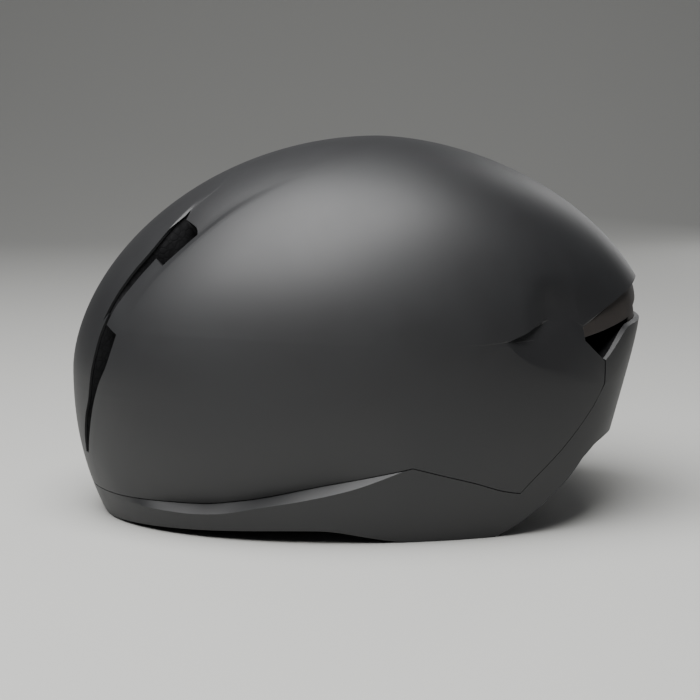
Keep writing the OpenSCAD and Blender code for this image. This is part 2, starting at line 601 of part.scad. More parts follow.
module drive_pinion() {
    root_r = PITCH_R - DEDENDUM;
    tip_r = PITCH_R + ADDENDUM;
    root_w = TOOTH_W / 2 + DEDENDUM * FLANK * 0.5;
    tip_w = TOOTH_W / 2 - ADDENDUM * FLANK;
    wide = CH_OUT - CH_IN - 0.5;
    tooth = [[root_r, -root_w], [tip_r, -tip_w], [tip_r, tip_w], [root_r, root_w]];
    color(PLASTIC) translate(on_axis(CH_OUT - 0.25)) rotate([90, 0, 0]) difference() {
        linear_extrude(height = wide) polygon([for (k = [0 : pinion_teeth - 1], q = tooth)
            let (a = 90 + 360 * k / pinion_teeth)
            [q[0] * cos(a) - q[1] * sin(a), q[0] * sin(a) + q[1] * cos(a)]]);
        translate([0, 0, -1]) cylinder(r = STUD_R + 0.04, h = wide + 2);
    }
}
module ratchet_disc() {
    disc_t = 1.2;
    arm_r = RING_IN - run_gap - 0.5;
    color(PLASTIC) translate(on_axis(CASE_OUT + RING_FLOOR + 0.2 + disc_t)) rotate([90, 0, 0]) {
        difference() {
            cylinder(r = arm_r - 2.6, h = disc_t);
            translate([0, 0, -1]) cylinder(r = BOSS_R + 0.05, h = disc_t + 2);
        }
        for (s = [0, 180]) rotate([0, 0, s]) {
            rotate_extrude(angle = 110, $fn = 120) translate([arm_r - 1.2, 0]) square([1.2, disc_t]);
            translate([arm_r - 3.2, 0, 0]) cube([3.1, 1.6, disc_t]);
            rotate([0, 0, 110]) translate([arm_r - 0.4, 0, 0]) cylinder(r = 0.6, h = disc_t);
        }
    }
}
module dial_screw() {
    head_t = 1.3;
    color(STEEL) translate(on_axis(CH_IN)) rotate([90, 0, 0]) difference() {
        union() {
            cylinder(r = 2.8, h = head_t);
            translate([0, 0, -7.5]) cylinder(r = SCREW_R, h = 8);
        }
        translate([0, 0, head_t - 0.7]) cylinder(r = 1.2, h = 1, $fn = 6);
    }
}

// Curved stem on the case, sliding in the socket of the hanger as the system tilts
STEM_R = (CH_IN + CASE_OUT) / 2;
STEM_A0 = asin(CASE_H / STEM_R);
STEM_A1 = STEM_A0 + 9.4;
SOCKET_A0 = STEM_A0 + 3.9;
SOCKET_A1 = SOCKET_A0 + socket_h / STEM_R * 180 / PI;
module tilt_arc(r0, r1, a0, a1, x0, x1) {
    translate([x0, -pin_y, band_z]) rotate([90, 0, 90]) rotate([0, 0, a0])
        rotate_extrude(angle = a1 - a0, $fn = 180) translate([r0, 0]) square([r1 - r0, x1 - x0]);
}
module height_stem() {
    foot_t = 2;
    color(PLASTIC) difference() {
        union() {
            tilt_arc(STEM_R - stem_t / 2, STEM_R + stem_t / 2, STEM_A0 + 0.3, STEM_A1,
                -stem_w / 2, stem_w / 2);
            translate([-stem_w / 2 - 2, -pin_y + STEM_R - 2.6, band_z + CASE_H])
                cube([stem_w + 4, 4.3, foot_t]);
        }
        for (k = [0 : 4], s = [-1, 1])
            translate([s * (stem_w / 2 + 0.6), -pin_y, band_z]) rotate([STEM_A1 - 1.2 - k * 1.1, 0, 0])
                translate([0, STEM_R + stem_t, 0]) rotate([90, 0, 0]) cylinder(r = 1.3, h = 2 * stem_t);
    }
}
HANGER_WALL = 1.8;
HANGER_GRIP = 5.4;
module height_hanger() {
    gap = run_gap;
    x1 = stem_w / 2 + gap;
    r0 = STEM_R - stem_t / 2 - gap;
    r1 = STEM_R + stem_t / 2 + gap;
    mid = (SOCKET_A0 + SOCKET_A1) / 2;
    web_z = band_z + STEM_R * sin(mid);
    reach = cavity_pt([0, pin_y, web_z])[1] + HANGER_GRIP;
    color(PLASTIC) {
        difference() {
            tilt_arc(r0 - HANGER_WALL, r1 + HANGER_WALL, SOCKET_A0, SOCKET_A1,
                -x1 - HANGER_WALL, x1 + HANGER_WALL);
            tilt_arc(r0, r1, SOCKET_A0 - 1, SOCKET_A1 + 1, -x1, x1);
        }
        for (s = [-1, 1])
            translate([s * 5 - 1.2, -pin_y + r1 * cos(mid) + 1, web_z - 3])
                cube([2.4, reach + pin_y - r1 * cos(mid) - 1, 6]);
    }
}

// Webbing: a flat ribbon along a smooth route, with its width kept level.
// Each point of a route has a place and the direction of the width in degrees.
function bezier(p, t) = pow(1 - t, 3) * p[0] + 3 * t * pow(1 - t, 2) * p[1]
    + 3 * t * t * (1 - t) * p[2] + pow(t, 3) * p[3];
function bezier_dir(p, t) = pow(1 - t, 2) * (p[1] - p[0]) + 2 * t * (1 - t) * (p[2] - p[1])
    + t * t * (p[3] - p[2]);
function smooth(t) = t * t * (3 - 2 * t);
function route_pt(q) = [q[0], q[1], q[2]];
function level(a) = [cos(a), sin(a), 0];
function ribbon_corner(route, i, cu, cv) =
    let (a = route_pt(route[max(i - 1, 0)]))
    let (b = route_pt(route[min(i + 1, len(route) - 1)]))
    let (wd = level(route[i][3]))
    let (nd = unit(cross(unit(b - a), wd)))
    route_pt(route[i]) + wd * cu * strap_w / 2 + nd * cv * strap_t / 2;
module ribbon(route) {
    n = len(route);
    corners = [[-1, -1], [1, -1], [1, 1], [-1, 1]];
    pts = [for (i = [0 : n - 1], c = corners) ribbon_corner(route, i, c[0], c[1])];
    faces = concat([[0, 1, 2], [0, 2, 3]],
        [for (i = [0 : n - 2], k = [0 : 3])
            for (f = quad(4 * i + k, 4 * (i + 1) + k, 4 * (i + 1) + (k + 1) % 4,
                4 * i + (k + 1) % 4)) f],
        [[4 * n - 4, 4 * n - 2, 4 * n - 3], [4 * n - 4, 4 * n - 1, 4 * n - 2]]);
    color(WEBBING) polyhedron(points = pts, faces = faces);
}

// A side strap falls from its anchor in the foam and lies down towards the divider
STEPS = 14;
STRAP_Z = strap_t / 2 + 0.4;
function side_route(p, end, z, a0, a1) = [for (k = [0 : STEPS])
    let (t = k / STEPS, q = bezier([for (v = p) v + [0, head_y], end], t))
    [q[0], q[1], mix(STRAP_Z, z, pow(1 - t, 3.5)), mix(a0, a1, smooth(t))]];
DIVIDER = [48, 4 + head_y];
POCKET = 5.2;
FRONT_ANCHOR = [78.1, -35 + head_y, 17, -15.9];
REAR_ANCHOR = [74.8, 45 + head_y, 13.5, 21];
FRONT_END = DIVIDER + POCKET * [cos(60), -sin(60)];
REAR_END = DIVIDER + POCKET * [cos(60), sin(60)];
module strap_front_left() {
    ribbon(side_route([[76.8, -34.6], [72, -29], [55, -8]], FRONT_END, 20, 74, 30));
}
module strap_front_right() {
    mirror([1, 0, 0]) strap_front_left();
}
module strap_rear_left() {
    ribbon(side_route([[73.5, 44.5], [69, 40], [55, 16]], REAR_END, 13, 111, 150));
}
module strap_rear_right() {
    mirror([1, 0, 0]) strap_rear_left();
}
module strap_anchors() {
    color(PLASTIC) for (m = [0, 1], q = [FRONT_ANCHOR, REAR_ANCHOR])
        mirror([m, 0, 0]) translate(route_pt(q)) rotate([0, 90, q[3]]) translate([0, 0, -0.2])
            cylinder(d = 12, h = 7);
}

// Three-sided divider in which two side straps meet the chin strap
DIVIDER_H = 3.6;
module divider_left() {
    color(PLASTIC) difference() {
        translate([DIVIDER[0], DIVIDER[1], 0.2]) hull()
            for (a = [0, 120, 240]) rotate([0, 0, a]) translate([10.6, 0, 0])
                cylinder(r = 2.5, h = DIVIDER_H, $fn = 32);
        for (a = [60, 180, 300])
            translate([DIVIDER[0], DIVIDER[1], STRAP_Z]) rotate([0, 0, a])
                translate([POCKET - 0.3, -strap_w / 2 - 0.3, -strap_t / 2 - 0.2])
                    cube([6, strap_w + 0.6, strap_t + 0.4]);
    }
}
module divider_right() {
    mirror([1, 0, 0]) divider_left();
}

// A chin strap runs from the divider in a loose wave to the buckle in the middle
BUCKLE_Y = 35 + head_y;
BUCKLE_X = 16;
GRIP = 3.5;
WAVE = 9;
CHIN_PTS = [[DIVIDER[0] - POCKET, DIVIDER[1]], [DIVIDER[0] - POCKET - 19, DIVIDER[1]],
    [BUCKLE_X - GRIP + 19, BUCKLE_Y], [BUCKLE_X - GRIP, BUCKLE_Y]];
function chin_route(z) = [for (k = [0 : 2 * STEPS])
    let (t = k / 2 / STEPS, q = bezier(CHIN_PTS, t), d = bezier_dir(CHIN_PTS, t))
    [q[0], q[1], mix(STRAP_Z, z, smooth(t)) + WAVE * pow(sin(180 * t), 4), atan2(d[1], d[0]) - 90]];
SOCKET_Z = 0.4;
SOCKET_T = 5;
PLUG_T = 3.2;
RAIL_T = 1.6;
SLOT_T = RAIL_T + 2 * run_gap;
SLOT_Z = SOCKET_Z + 1.2;
PLUG_Z = SOCKET_Z + SOCKET_T + run_gap;
SOCKET_STRAP = SOCKET_Z + SOCKET_T / 2;
PLUG_STRAP = PLUG_Z + PLUG_T / 2;
module chin_strap_left() {
    ribbon(chin_route(SOCKET_STRAP));
}
module chin_strap_right() {
    mirror([1, 0, 0]) ribbon(chin_route(PLUG_STRAP));
}

// Slide buckle: a rail under the plug runs sideways out of a slot in the socket
BUCKLE_W = 21;
RAIL_W = 10;
NECK_W = 6;
function rail_len() = BUCKLE_W - 3;
module round_plate(x0, x1, w, h, r) {
    hull() for (x = [x0 + r, x1 - r], y = [-w / 2 + r, w / 2 - r])
        translate([x, y, 0]) cylinder(r = r, h = h, $fn = 32);
}
module strap_pocket(z) {
    translate([BUCKLE_X - GRIP - 0.3, -strap_w / 2 - 1.3, z - strap_t / 2 - 0.3])
        cube([GRIP + 1, strap_w + 2.6, strap_t + 0.6]);
}
module buckle_socket() {
    color(PLASTIC) translate([0, BUCKLE_Y, 0]) difference() {
        translate([0, 0, SOCKET_Z]) round_plate(-8, BUCKLE_X, BUCKLE_W, SOCKET_T, 2.5);
        translate([-RAIL_W / 2 - run_gap, -BUCKLE_W, SLOT_Z])
            cube([RAIL_W + 2 * run_gap, BUCKLE_W / 2 + rail_len(), SLOT_T]);
        translate([-NECK_W / 2 - run_gap, -BUCKLE_W, SLOT_Z])
            cube([NECK_W + 2 * run_gap, BUCKLE_W / 2 + rail_len(), SOCKET_T]);
        strap_pocket(SOCKET_STRAP);
    }
}
module buckle_plug() {
    color(PLASTIC) translate([0, BUCKLE_Y, 0]) {
        difference() {
            union() {
                translate([0, 0, PLUG_Z]) round_plate(-BUCKLE_X, 8, BUCKLE_W, PLUG_T, 2.5);
                translate([-2, -BUCKLE_W / 2 - 4, PLUG_Z]) round_plate(-6, 8, 12, PLUG_T, 2);
            }
            mirror([1, 0, 0]) strap_pocket(PLUG_STRAP);
            for (k = [0 : 3])
                translate([-7, -BUCKLE_W / 2 - 8 + 2.4 * k, PLUG_Z + PLUG_T])
                    rotate([0, 90, 0]) cylinder(r = 0.6, h = 12);
        }
        translate([-NECK_W / 2, -BUCKLE_W / 2, SLOT_Z + run_gap + RAIL_T - 0.2])
            cube([NECK_W, rail_len(), PLUG_Z - SLOT_Z - RAIL_T - run_gap + 0.4]);
        translate([-RAIL_W / 2, -BUCKLE_W / 2, SLOT_Z + run_gap])
            cube([RAIL_W, rail_len(), RAIL_T]);
    }
}
KEEPER_AT = 2 * STEPS - 9;
module strap_keeper() {
    route = chin_route(SOCKET_STRAP);
    d = unit(route_pt(route[KEEPER_AT + 1]) - route_pt(route[KEEPER_AT - 1]));
    color(PLASTIC) translate(route_pt(route[KEEPER_AT]))
        rotate([0, -asin(d[2]), atan2(d[1], d[0])]) difference() {
            round_keeper(strap_w + 4.4, strap_t + 3.4, 4);
            cube_mid([12, strap_w + 1.6, strap_t + 1]);
        }
}
module cube_mid(s) {
    translate([-s[0] / 2, -s[1] / 2, -s[2] / 2]) cube(s);
}
module round_keeper(w, h, long) {
    r = 1.2;
    translate([-long / 2, 0, 0]) rotate([90, 0, 90]) hull()
        for (x = [-w / 2 + r, w / 2 - r], y = [-h / 2 + r, h / 2 - r])
            translate([x, y, 0]) cylinder(r = r, h = long, $fn = 32);
}

outer_shell();
lower_shell();
tail_insert();
foam_liner();
foam_crown();
brow_pad();
crown_pad();
crown_pad_left();
crown_pad_right();
side_pad_left();
side_pad_right();
pad_hooks();
brow_anchor();
brow_pin();
headband_left();
headband_right();
cradle_case();
cradle_cover();
cradle_pad_left();
cradle_pad_right();
dial_knob();
drive_pinion();
ratchet_disc();
dial_screw();
height_stem();
height_hanger();
strap_anchors();
strap_front_left();
strap_front_right();
strap_rear_left();
strap_rear_right();
divider_left();
divider_right();
chin_strap_left();
chin_strap_right();
buckle_socket();
buckle_plug();
strap_keeper();
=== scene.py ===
# %% [markdown]
# # An aero road bike helmet
# A road helmet of this kind is a thick shell of bead foam that takes the blow, a thin moulded skin
# that carries the paint, and a fit system inside that a dial pulls tight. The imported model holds
# every piece at its real size. This script dresses it: the outer skins, the foam, the cushions and
# the webbing get smooth new meshes, and the moulded parts of the fit system keep their own solids
# and get materials. All sizes below are in millimetres until a point is placed, then in metres.

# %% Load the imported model
import bpy
import bmesh
import json
import math
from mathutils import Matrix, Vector

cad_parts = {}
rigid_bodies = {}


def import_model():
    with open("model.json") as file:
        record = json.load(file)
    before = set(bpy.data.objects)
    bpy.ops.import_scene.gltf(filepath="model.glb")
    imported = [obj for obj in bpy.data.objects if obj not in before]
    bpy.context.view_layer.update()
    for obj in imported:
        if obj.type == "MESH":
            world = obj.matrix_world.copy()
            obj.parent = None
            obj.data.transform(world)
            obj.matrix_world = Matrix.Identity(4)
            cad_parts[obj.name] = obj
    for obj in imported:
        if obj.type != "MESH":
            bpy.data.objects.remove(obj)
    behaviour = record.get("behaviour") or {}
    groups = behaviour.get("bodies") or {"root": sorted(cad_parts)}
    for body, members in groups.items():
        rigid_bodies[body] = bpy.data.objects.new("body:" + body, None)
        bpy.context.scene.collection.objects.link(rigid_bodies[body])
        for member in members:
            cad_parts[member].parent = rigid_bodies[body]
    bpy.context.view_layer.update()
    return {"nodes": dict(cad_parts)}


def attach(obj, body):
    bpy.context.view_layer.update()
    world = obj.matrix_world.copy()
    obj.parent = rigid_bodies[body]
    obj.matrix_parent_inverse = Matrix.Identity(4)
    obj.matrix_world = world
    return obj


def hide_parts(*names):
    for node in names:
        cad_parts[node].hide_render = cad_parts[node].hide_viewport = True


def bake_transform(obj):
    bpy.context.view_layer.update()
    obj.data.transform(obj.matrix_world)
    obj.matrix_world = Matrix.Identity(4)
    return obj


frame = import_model()

# %% [markdown]
# ## The camera
# The photograph looks at the helmet's left side, a little from the front and a little from above.
# A fit of the outline gave 80 degrees round from the front, 8 degrees up and 0.9 m away. The lens
# follows from the scale of the outline, so the camera comes first and everything is judged by it.

# %% Camera
AIM = Vector((0, -0.0028, 0.0728))
turn, rise, distance = math.radians(80), math.radians(8), 0.9
eye = AIM + distance * Vector((math.sin(turn) * math.cos(rise),
                               -math.cos(turn) * math.cos(rise), math.sin(rise)))
camera_data = bpy.data.cameras.new("camera")
camera_data.lens = 36 * 1879 / 700
camera = bpy.data.objects.new("camera", camera_data)
camera.location = eye
camera.rotation_euler = (AIM - eye).to_track_quat("-Z", "Y").to_euler()
bpy.context.scene.collection.objects.link(camera)
bpy.context.scene.camera = camera
print("camera at", [round(v, 3) for v in eye], "lens", round(camera_data.lens, 1), "mm")

# %% [markdown]
# ## Small helpers for materials
# Each material is one Principled shader with a few procedural nodes before it. A helper adds one
# node with its settings and its links, and one function turns the hex colour that a designer
# would pick into the linear values that the renderer wants.

# %% Material helpers
MM = 0.001


def linear(hex_colour):
    parts = [int(hex_colour[k:k + 2], 16) / 255 for k in (1, 3, 5)]
    return tuple(c / 12.92 if c <= 0.04045 else ((c + 0.055) / 1.055) ** 2.4 for c in parts) + (1,)


def add_node(tree, kind, links=(), **settings):
    """Adds one node. A setting is an attribute or, as a dictionary called inputs, socket values."""
    node = tree.nodes.new(kind)
    for socket, value in settings.pop("inputs", {}).items():
        node.inputs[socket].default_value = value
    for key, value in settings.items():
        setattr(node, key, value)
    for source, socket, target in links:
        tree.links.new(source.outputs[socket], node.inputs[target])
    return node


def new_material(name, colour, roughness, **sockets):
    material = bpy.data.materials.new(name)
    material.use_nodes = True
    shader = material.node_tree.nodes["Principled BSDF"]
    shader.inputs["Base Color"].default_value = linear(colour)
    shader.inputs["Roughness"].default_value = roughness
    for socket, value in sockets.items():
        shader.inputs[socket.replace("_", " ")].default_value = value
    return material, material.node_tree, shader


def set_ramp(node, stops):
    """Gives a Color Ramp its stops as pairs of place and hex colour or grey value."""
    ramp = node.color_ramp
    while len(ramp.elements) < len(stops):
        ramp.elements.new(0.5)
    for element, (place, value) in zip(ramp.elements, stops):
        element.position = place
        element.color = linear(value) if isinstance(value, str) else (value, value, value, 1)


# %% [markdown]
# ## Satin paint on a moulded polycarbonate skin
# The skin is polycarbonate sheet, drawn over a mould and painted black with a satin clear coat. To
# the eye that is a dark body, a wide soft highlight and, close up, the faint orange peel of sprayed
# lacquer, about 1.2 mm from hump to hump. Dust and handling make the gloss vary over centimetres.

# %% Satin black paint
def satin_paint():
    material, tree, shader = new_material("satin_black_paint_on_polycarbonate", "#151617", 0.53,
                                          IOR=1.58, Coat_Weight=0.15, Coat_Roughness=0.4)
    where = add_node(tree, "ShaderNodeTexCoord")
    peel = add_node(tree, "ShaderNodeTexNoise", [(where, "Object", "Vector")],
                    inputs={"Scale": 1 / (1.2 * MM), "Detail": 2.0, "Roughness": 0.5})
    handling = add_node(tree, "ShaderNodeTexNoise", [(where, "Object", "Vector")],
                        inputs={"Scale": 1 / (45 * MM), "Detail": 4.0, "Roughness": 0.6})
    gloss = add_node(tree, "ShaderNodeMapRange", [(handling, "Fac", "Value")],
                     inputs={"From Min": 0.3, "From Max": 0.7, "To Min": 0.51, "To Max": 0.57})
    tree.links.new(gloss.outputs["Result"], shader.inputs["Roughness"])
    tint = add_node(tree, "ShaderNodeValToRGB", [(handling, "Fac", "Fac")])
    set_ramp(tint, [(0.3, "#141416"), (0.7, "#17181a")])
    tree.links.new(tint.outputs["Color"], shader.inputs["Base Color"])
    bump = add_node(tree, "ShaderNodeBump", [(peel, "Fac", "Height")],
                    inputs={"Strength": 0.12, "Distance": 0.02 * MM})
    tree.links.new(bump.outputs["Normal"], shader.inputs["Normal"])
    return material


PAINT = satin_paint()
print("made", PAINT.name)

# %% [markdown]
# ## The form of the helmet
# The outside is one smooth dome with a few lines drawn round it. At each height three numbers give
# its reach to the front, the side and the rear, and an oval joins them. The rim, the ledge, the
# seam, the facet, the gill, the port and the lip are heights that change with the direction, so
# each is a short table of a direction and a height, read with a smooth curve between its points,
# but with true corners where a line turns. Further tables give depths and widths in the same way:
# the facet under the lip, the valley where the lip fades, the crease over the ledge, the spine and
# the floor of the channel beside it. Two short ones tilt the ends of the front vents.

# %% Form of the dome
CROWN_Z, BELT_Z, HALF_WIDTH, FRONT_REACH, REAR_REACH = 174.8, 66.5, 103, 144.6, 137.5
CROWN_Y, BROW_TUCK, SIDE_TUCK = 10.4, 14, 11.8
LOBE_REACH, LOBE_LEAN, LOBE_N, BLEND = 112.3, 0.3, 2.6, 3
LEDGE_DEPTH, CREASE_FADE, VALLEY_FADE = 6, 35, 20


def mix(a, b, t):
    return a + (b - a) * t


def clamp(t, low=0.0, high=1.0):
    return min(high, max(low, t))


def ease(t):
    t = clamp(t)
    return t * t * (3 - 2 * t)


def up_share(z):
    return clamp((z - BELT_Z) / (CROWN_Z - BELT_Z))


def down_share(z):
    return clamp((BELT_Z - z) / BELT_Z)


def reach_front(z):
    return (FRONT_REACH * (1 - up_share(z) ** 1.77) ** (1 / 1.98)
            - BROW_TUCK * down_share(z) ** 2.3)


def reach_rear(z):
    return REAR_REACH * (1 - up_share(z) ** 1.95) ** (1 / 1.75)


def reach_side(z):
    return (HALF_WIDTH * (1 - up_share(z) ** 2.3) ** (1 / 2.3)
            - SIDE_TUCK * down_share(z) ** 2.2)


def upper_radius(direction, z):
    """Distance of the dome from the crown's axis. Direction 0 is the front, 90 the left side."""
    a = math.radians(direction)
    ahead = reach_front(z) if math.cos(a) > 0 else reach_rear(z)
    side = reach_side(z)
    if ahead < 1e-6 or side < 1e-6:
        return 0.0
    return 1 / math.hypot(math.sin(a) / side, math.cos(a) / ahead)


def lower_radius(direction, z):
    """The same below the gill, where the lower tail ends sooner than the dome does."""
    a = math.radians(direction)
    dome = upper_radius(direction, z)
    if math.cos(a) > 0:
        return dome
    lobe = ((math.sin(a) / (HALF_WIDTH + 7)) ** LOBE_N
            + (-math.cos(a) / (LOBE_REACH + LOBE_LEAN * (z - 60))) ** LOBE_N) ** (-1 / LOBE_N)
    near = min(dome, lobe)
    joined = near - BLEND * math.log(math.exp((near - dome) / BLEND)
                                     + math.exp((near - lobe) / BLEND))
    return mix(dome, joined, ease((direction - 92) / 24))


print("reach at the belt", reach_front(BELT_Z), reach_side(BELT_Z), reach_rear(BELT_Z))

# %% Lines round the dome
RIM = [(0, 0), (8.5, 0), (16, 0.8), (35, 3), (66, 6), (80, 2), (87, 0), (112.5, 0), (117, 4),
       (121, 9), (126, 17), (130, 24), (134, 33), (139, 39), (145, 41), (180, 42)]
LEDGE = [(0, 8), (23, 11.5), (37, 11), (44, 12), (53, 16), (65, 21), (75, 26), (85, 33),
         (88, 33.5), (97, 14), (112.5, 10), (121, 18), (130, 36), (139, 49), (180, 54)]
SEAM = [(0, 15), (24, 14.5), (38, 15.2), (49, 18.4), (65.5, 25.8), (77.5, 30.6), (88, 35),
        (97, 30.5), (104, 27), (112.5, 22), (117, 20.3), (121, 28), (126, 36.8), (130, 44.5),
        (134, 52.8), (137.5, 61), (139, 66), (180, 68)]
FACET = [(0, 45.3), (88, 55.7), (97, 62), (104, 75), (109, 85), (112, 87), (113.5, 83.5),
         (118.5, 77), (125.5, 72), (136, 67.5), (139, 66.6), (151, 79), (180, 84)]
GILL = [(0, 60), (88, 66), (104, 82), (108, 85.8), (112, 87.6), (117, 84), (121, 82.5),
        (126, 82.5), (130, 84), (134, 85.4), (139, 76), (151, 90), (180, 92)]
PORT = [(0, 77.8), (88, 78), (104, 85.4), (108, 87.2), (112, 88), (117, 86.5), (121, 87),
        (126, 88), (134, 87.5), (139, 88.9), (146, 90.9), (153, 93), (158, 97), (166, 100),
        (180, 101)]
LIP = [(0, 95), (20, 93), (60, 90), (104, 88), (108, 88.2), (112.5, 88.8), (117, 91.6),
       (121, 94.6), (126, 97), (130, 97), (134, 93), (139, 97), (145, 101), (151, 104),
       (165, 108.5), (180, 110)]
UNDER = [(0, 1), (108, 0.6), (112, 0.3), (114, 0.7), (117, 1), (126, 1.2), (134, 1), (180, 1)]
RECESS = [(0, 0), (112, 0), (114, 1.6), (117, 2.8), (121, 3.3), (126, 3), (130, 2.3),
          (134, 1.6), (139, 1.4), (145, 2), (153, 2.4), (180, 2.6)]
VALLEY = [(0, 0), (116, 0), (121, 0.45), (125, 1), (132, 1), (139, 0.4), (148, 0), (180, 0)]
CREASE = [(0, 0), (15, 0), (23, 0.4), (30, 0.8), (38, 0.97), (50, 1), (65, 0.83), (77, 0.4),
          (88, 0), (180, 0)]
SPINE = [(0, 3), (20, 4), (27, 4.7), (49, 8.6), (57, 10.6), (70, 11.9), (78, 12.5), (88, 12.9),
         (95, 13.4), (105, 14.2), (115, 15.4), (127, 16.9), (140, 16.3), (147, 14.2), (152, 12),
         (157, 8), (161, 4.6), (168, 3), (175, 3)]
CHANNEL = [(0, 9), (27, 9.4), (37, 11.6), (42, 12.9), (57, 16), (66, 18), (74, 20), (82, 20.9),
           (90, 21.4), (98, 21.8), (108, 23.4), (119, 26.1), (127, 28.4), (135, 31.1), (143, 34.8),
           (150, 40), (157, 47), (164, 56), (175, 60)]
FLOOR_IN = [(0, 0), (90, 0), (95, 0.6), (104, 2.2), (112, 3.8), (120, 4.8), (128, 4.8),
            (136, 3.2), (141, 1.5), (146, 0.5), (151, 0)]
FLOOR_OUT = [(0, 0), (90, 0), (96, 0.2), (104, 0.5), (112, 1), (120, 1.8), (128, 2.4),
             (138, 2.1), (146, 1.3), (153, 0.5), (160, 0)]
LEAN_IN = [(0, 0), (7, 0), (8, 3), (9, 3.5), (11, 9.5), (13, 8.5), (15.5, 0), (21, 0)]
LEAN_OUT = [(0, 0), (6, 0), (8, -4), (9, -2), (11, 4.4), (13, 0.2), (15, 0), (21, 0)]


def slopes_of(table, corners):
    """Slopes for a curve through a table that never overshoots; a corner keeps both its own."""
    steps = [(b[1] - a[1]) / (b[0] - a[0]) for a, b in zip(table, table[1:])]
    pairs = []
    for k in range(len(table)):
        before = steps[max(k - 1, 0)]
        after = steps[min(k, len(steps) - 1)]
        if table[k][0] in corners:
            pairs.append((before, after))
        elif before * after <= 0:
            pairs.append((0.0, 0.0))
        else:
            both = 2 * before * after / (before + after)
            pairs.append((both, both))
    return pairs


def smooth_table(table, corners=()):
    slopes = slopes_of(table, corners)

    def read(x):
        x = clamp(x, table[0][0], table[-1][0])
        k = max(i for i in range(len(table) - 1) if table[i][0] <= x)
        (x0, y0), (x1, y1) = table[k], table[k + 1]
        t, width = (x - x0) / (x1 - x0), x1 - x0
        return ((2 * t ** 3 - 3 * t ** 2 + 1) * y0 + (t ** 3 - 2 * t ** 2 + t) * width * slopes[k][1]
                + (3 * t ** 2 - 2 * t ** 3) * y1 + (t ** 3 - t ** 2) * width * slopes[k + 1][0])
    return read


rim_at = smooth_table(RIM, corners=(87, 112.5, 134))
ledge_at = smooth_table(LEDGE, corners=(85, 88))
seam_at = smooth_table(SEAM, corners=(88, 117))
facet_at = smooth_table(FACET, corners=(112,))
gill_at = smooth_table(GILL, corners=(112, 134, 139))
port_at = smooth_table(PORT, corners=(112, 134))
lip_at = smooth_table(LIP, corners=(112.5, 134))
under_at = smooth_table(UNDER, corners=(112, 134))
recess_at = smooth_table(RECESS, corners=(112,))
valley_at = smooth_table(VALLEY)
crease_at = smooth_table(CREASE)
spine_at = smooth_table(SPINE)
channel_at = smooth_table(CHANNEL)
floor_in_at, floor_out_at = smooth_table(FLOOR_IN), smooth_table(FLOOR_OUT)
lean_in_at, lean_out_at = smooth_table(LEAN_IN), smooth_table(LEAN_OUT)
print("seam at the side", round(seam_at(90), 2), "lip at the rear", round(lip_at(180), 2))

# %% [markdown]
# ## One grid for every skin
# The lines above are the rows of a grid, and the edges of the front channel are its columns. Each
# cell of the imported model's grid is cut into smaller ones here, so that the dome is smooth and the
# openings still fall on whole cells. The same grid then makes the upper skin, the lower skin, the
# tail trim and the foam: only the cells that are kept differ.

# %% Rows and columns of the grid
REAR_COLUMNS = [97, 104, 108, 112.5, 117, 121, 126, 130, 134, 139, 146, 153, 158, 166, 173, 180]
HALF_CELLS = 30
ROW_CELLS = 21
COLUMN_CUTS = [4, 4, 3, 3, 6, 3] + [4] + [6] * 8 + [4] * 15
ROW_CUTS = [4, 3, 5, 4, 4, 2, 4, 4, 3] + [4] * 12
STEP_DEG, SLOT_DEG, OUTER_STEP, SOFT_STEP = 0.9, 1.0, 2.2, 5
GILL_EDGE, CORNER_ROUND = 0.6, 1.6


def finer(cuts):
    """Cell numbers with fractions, such as 3, 3.5, 4, for a list of cuts per cell."""
    places = [cell + k / cuts[cell] for cell in range(len(cuts)) for k in range(cuts[cell])]
    return places + [len(cuts)]


def row_height(row, direction):
    """Height of a whole row from the rim, row 0, to the lip, row 9."""
    seam, facet, gill = seam_at(direction), facet_at(direction), gill_at(direction)
    lip = lip_at(direction)
    return [rim_at(direction), ledge_at(direction), seam, mix(seam, facet, 0.5), facet, gill,
            gill + GILL_EDGE, port_at(direction), lip - under_at(direction), lip][row]


def height(place, direction):
    """Height at a place between rows; the rows from 9 up share out the dome above the lip."""
    if place >= 9:
        return mix(lip_at(direction), CROWN_Z,
                   math.sin(math.radians(90 * (place - 9) / (ROW_CELLS - 9))))
    row = int(place)
    return mix(row_height(row, direction), row_height(row + 1, direction), place - row)


def column_direction(column, z):
    spine, channel = spine_at(z), channel_at(z)
    if column <= 6:
        step = mix(STEP_DEG, SOFT_STEP, clamp((z - 143) / 9))
        outer = OUTER_STEP + 0.8 * clamp((z - 95) / 15) + 1.6 * clamp((z - 136) / 12)
        slot = min(SLOT_DEG, (channel - spine - step - outer) / 2)
        return [0, spine / 2, spine, spine + step, spine + step + slot, channel - outer,
                channel][column]
    if column < 15:
        return mix(channel, 88, (column - 6) / 8)
    return REAR_COLUMNS[column - 15]


def direction_of(place, z):
    column = min(int(place), HALF_CELLS - 1)
    return mix(column_direction(column, z), column_direction(column + 1, z), place - column)


def guess_direction(place):
    """Direction of a column before its height is known."""
    if place <= 14:
        return mix(15, 88, clamp((place - 6) / 8))
    column = min(int(place), HALF_CELLS - 1)
    left = 88 if column < 15 else REAR_COLUMNS[column - 15]
    return mix(left, REAR_COLUMNS[column - 14], place - column)


def front_lean(place, column):
    """The ends of the front vents sit higher beside the spine than at the channel's edge."""
    inner, outer = lean_in_at(place), lean_out_at(place)
    if column <= 3:
        return inner * clamp(column - 2)
    if column <= 5:
        corner = CORNER_ROUND * clamp(2 * (column - 4.5)) ** 2 * clamp(1 - abs(place - 13) / 2)
        return mix(inner, outer, (column - 3) / 2) - corner
    corner = CORNER_ROUND * clamp(6 - column) * clamp(1 - abs(place - 13) / 2)
    return outer * clamp((9 - column) / 4) - corner


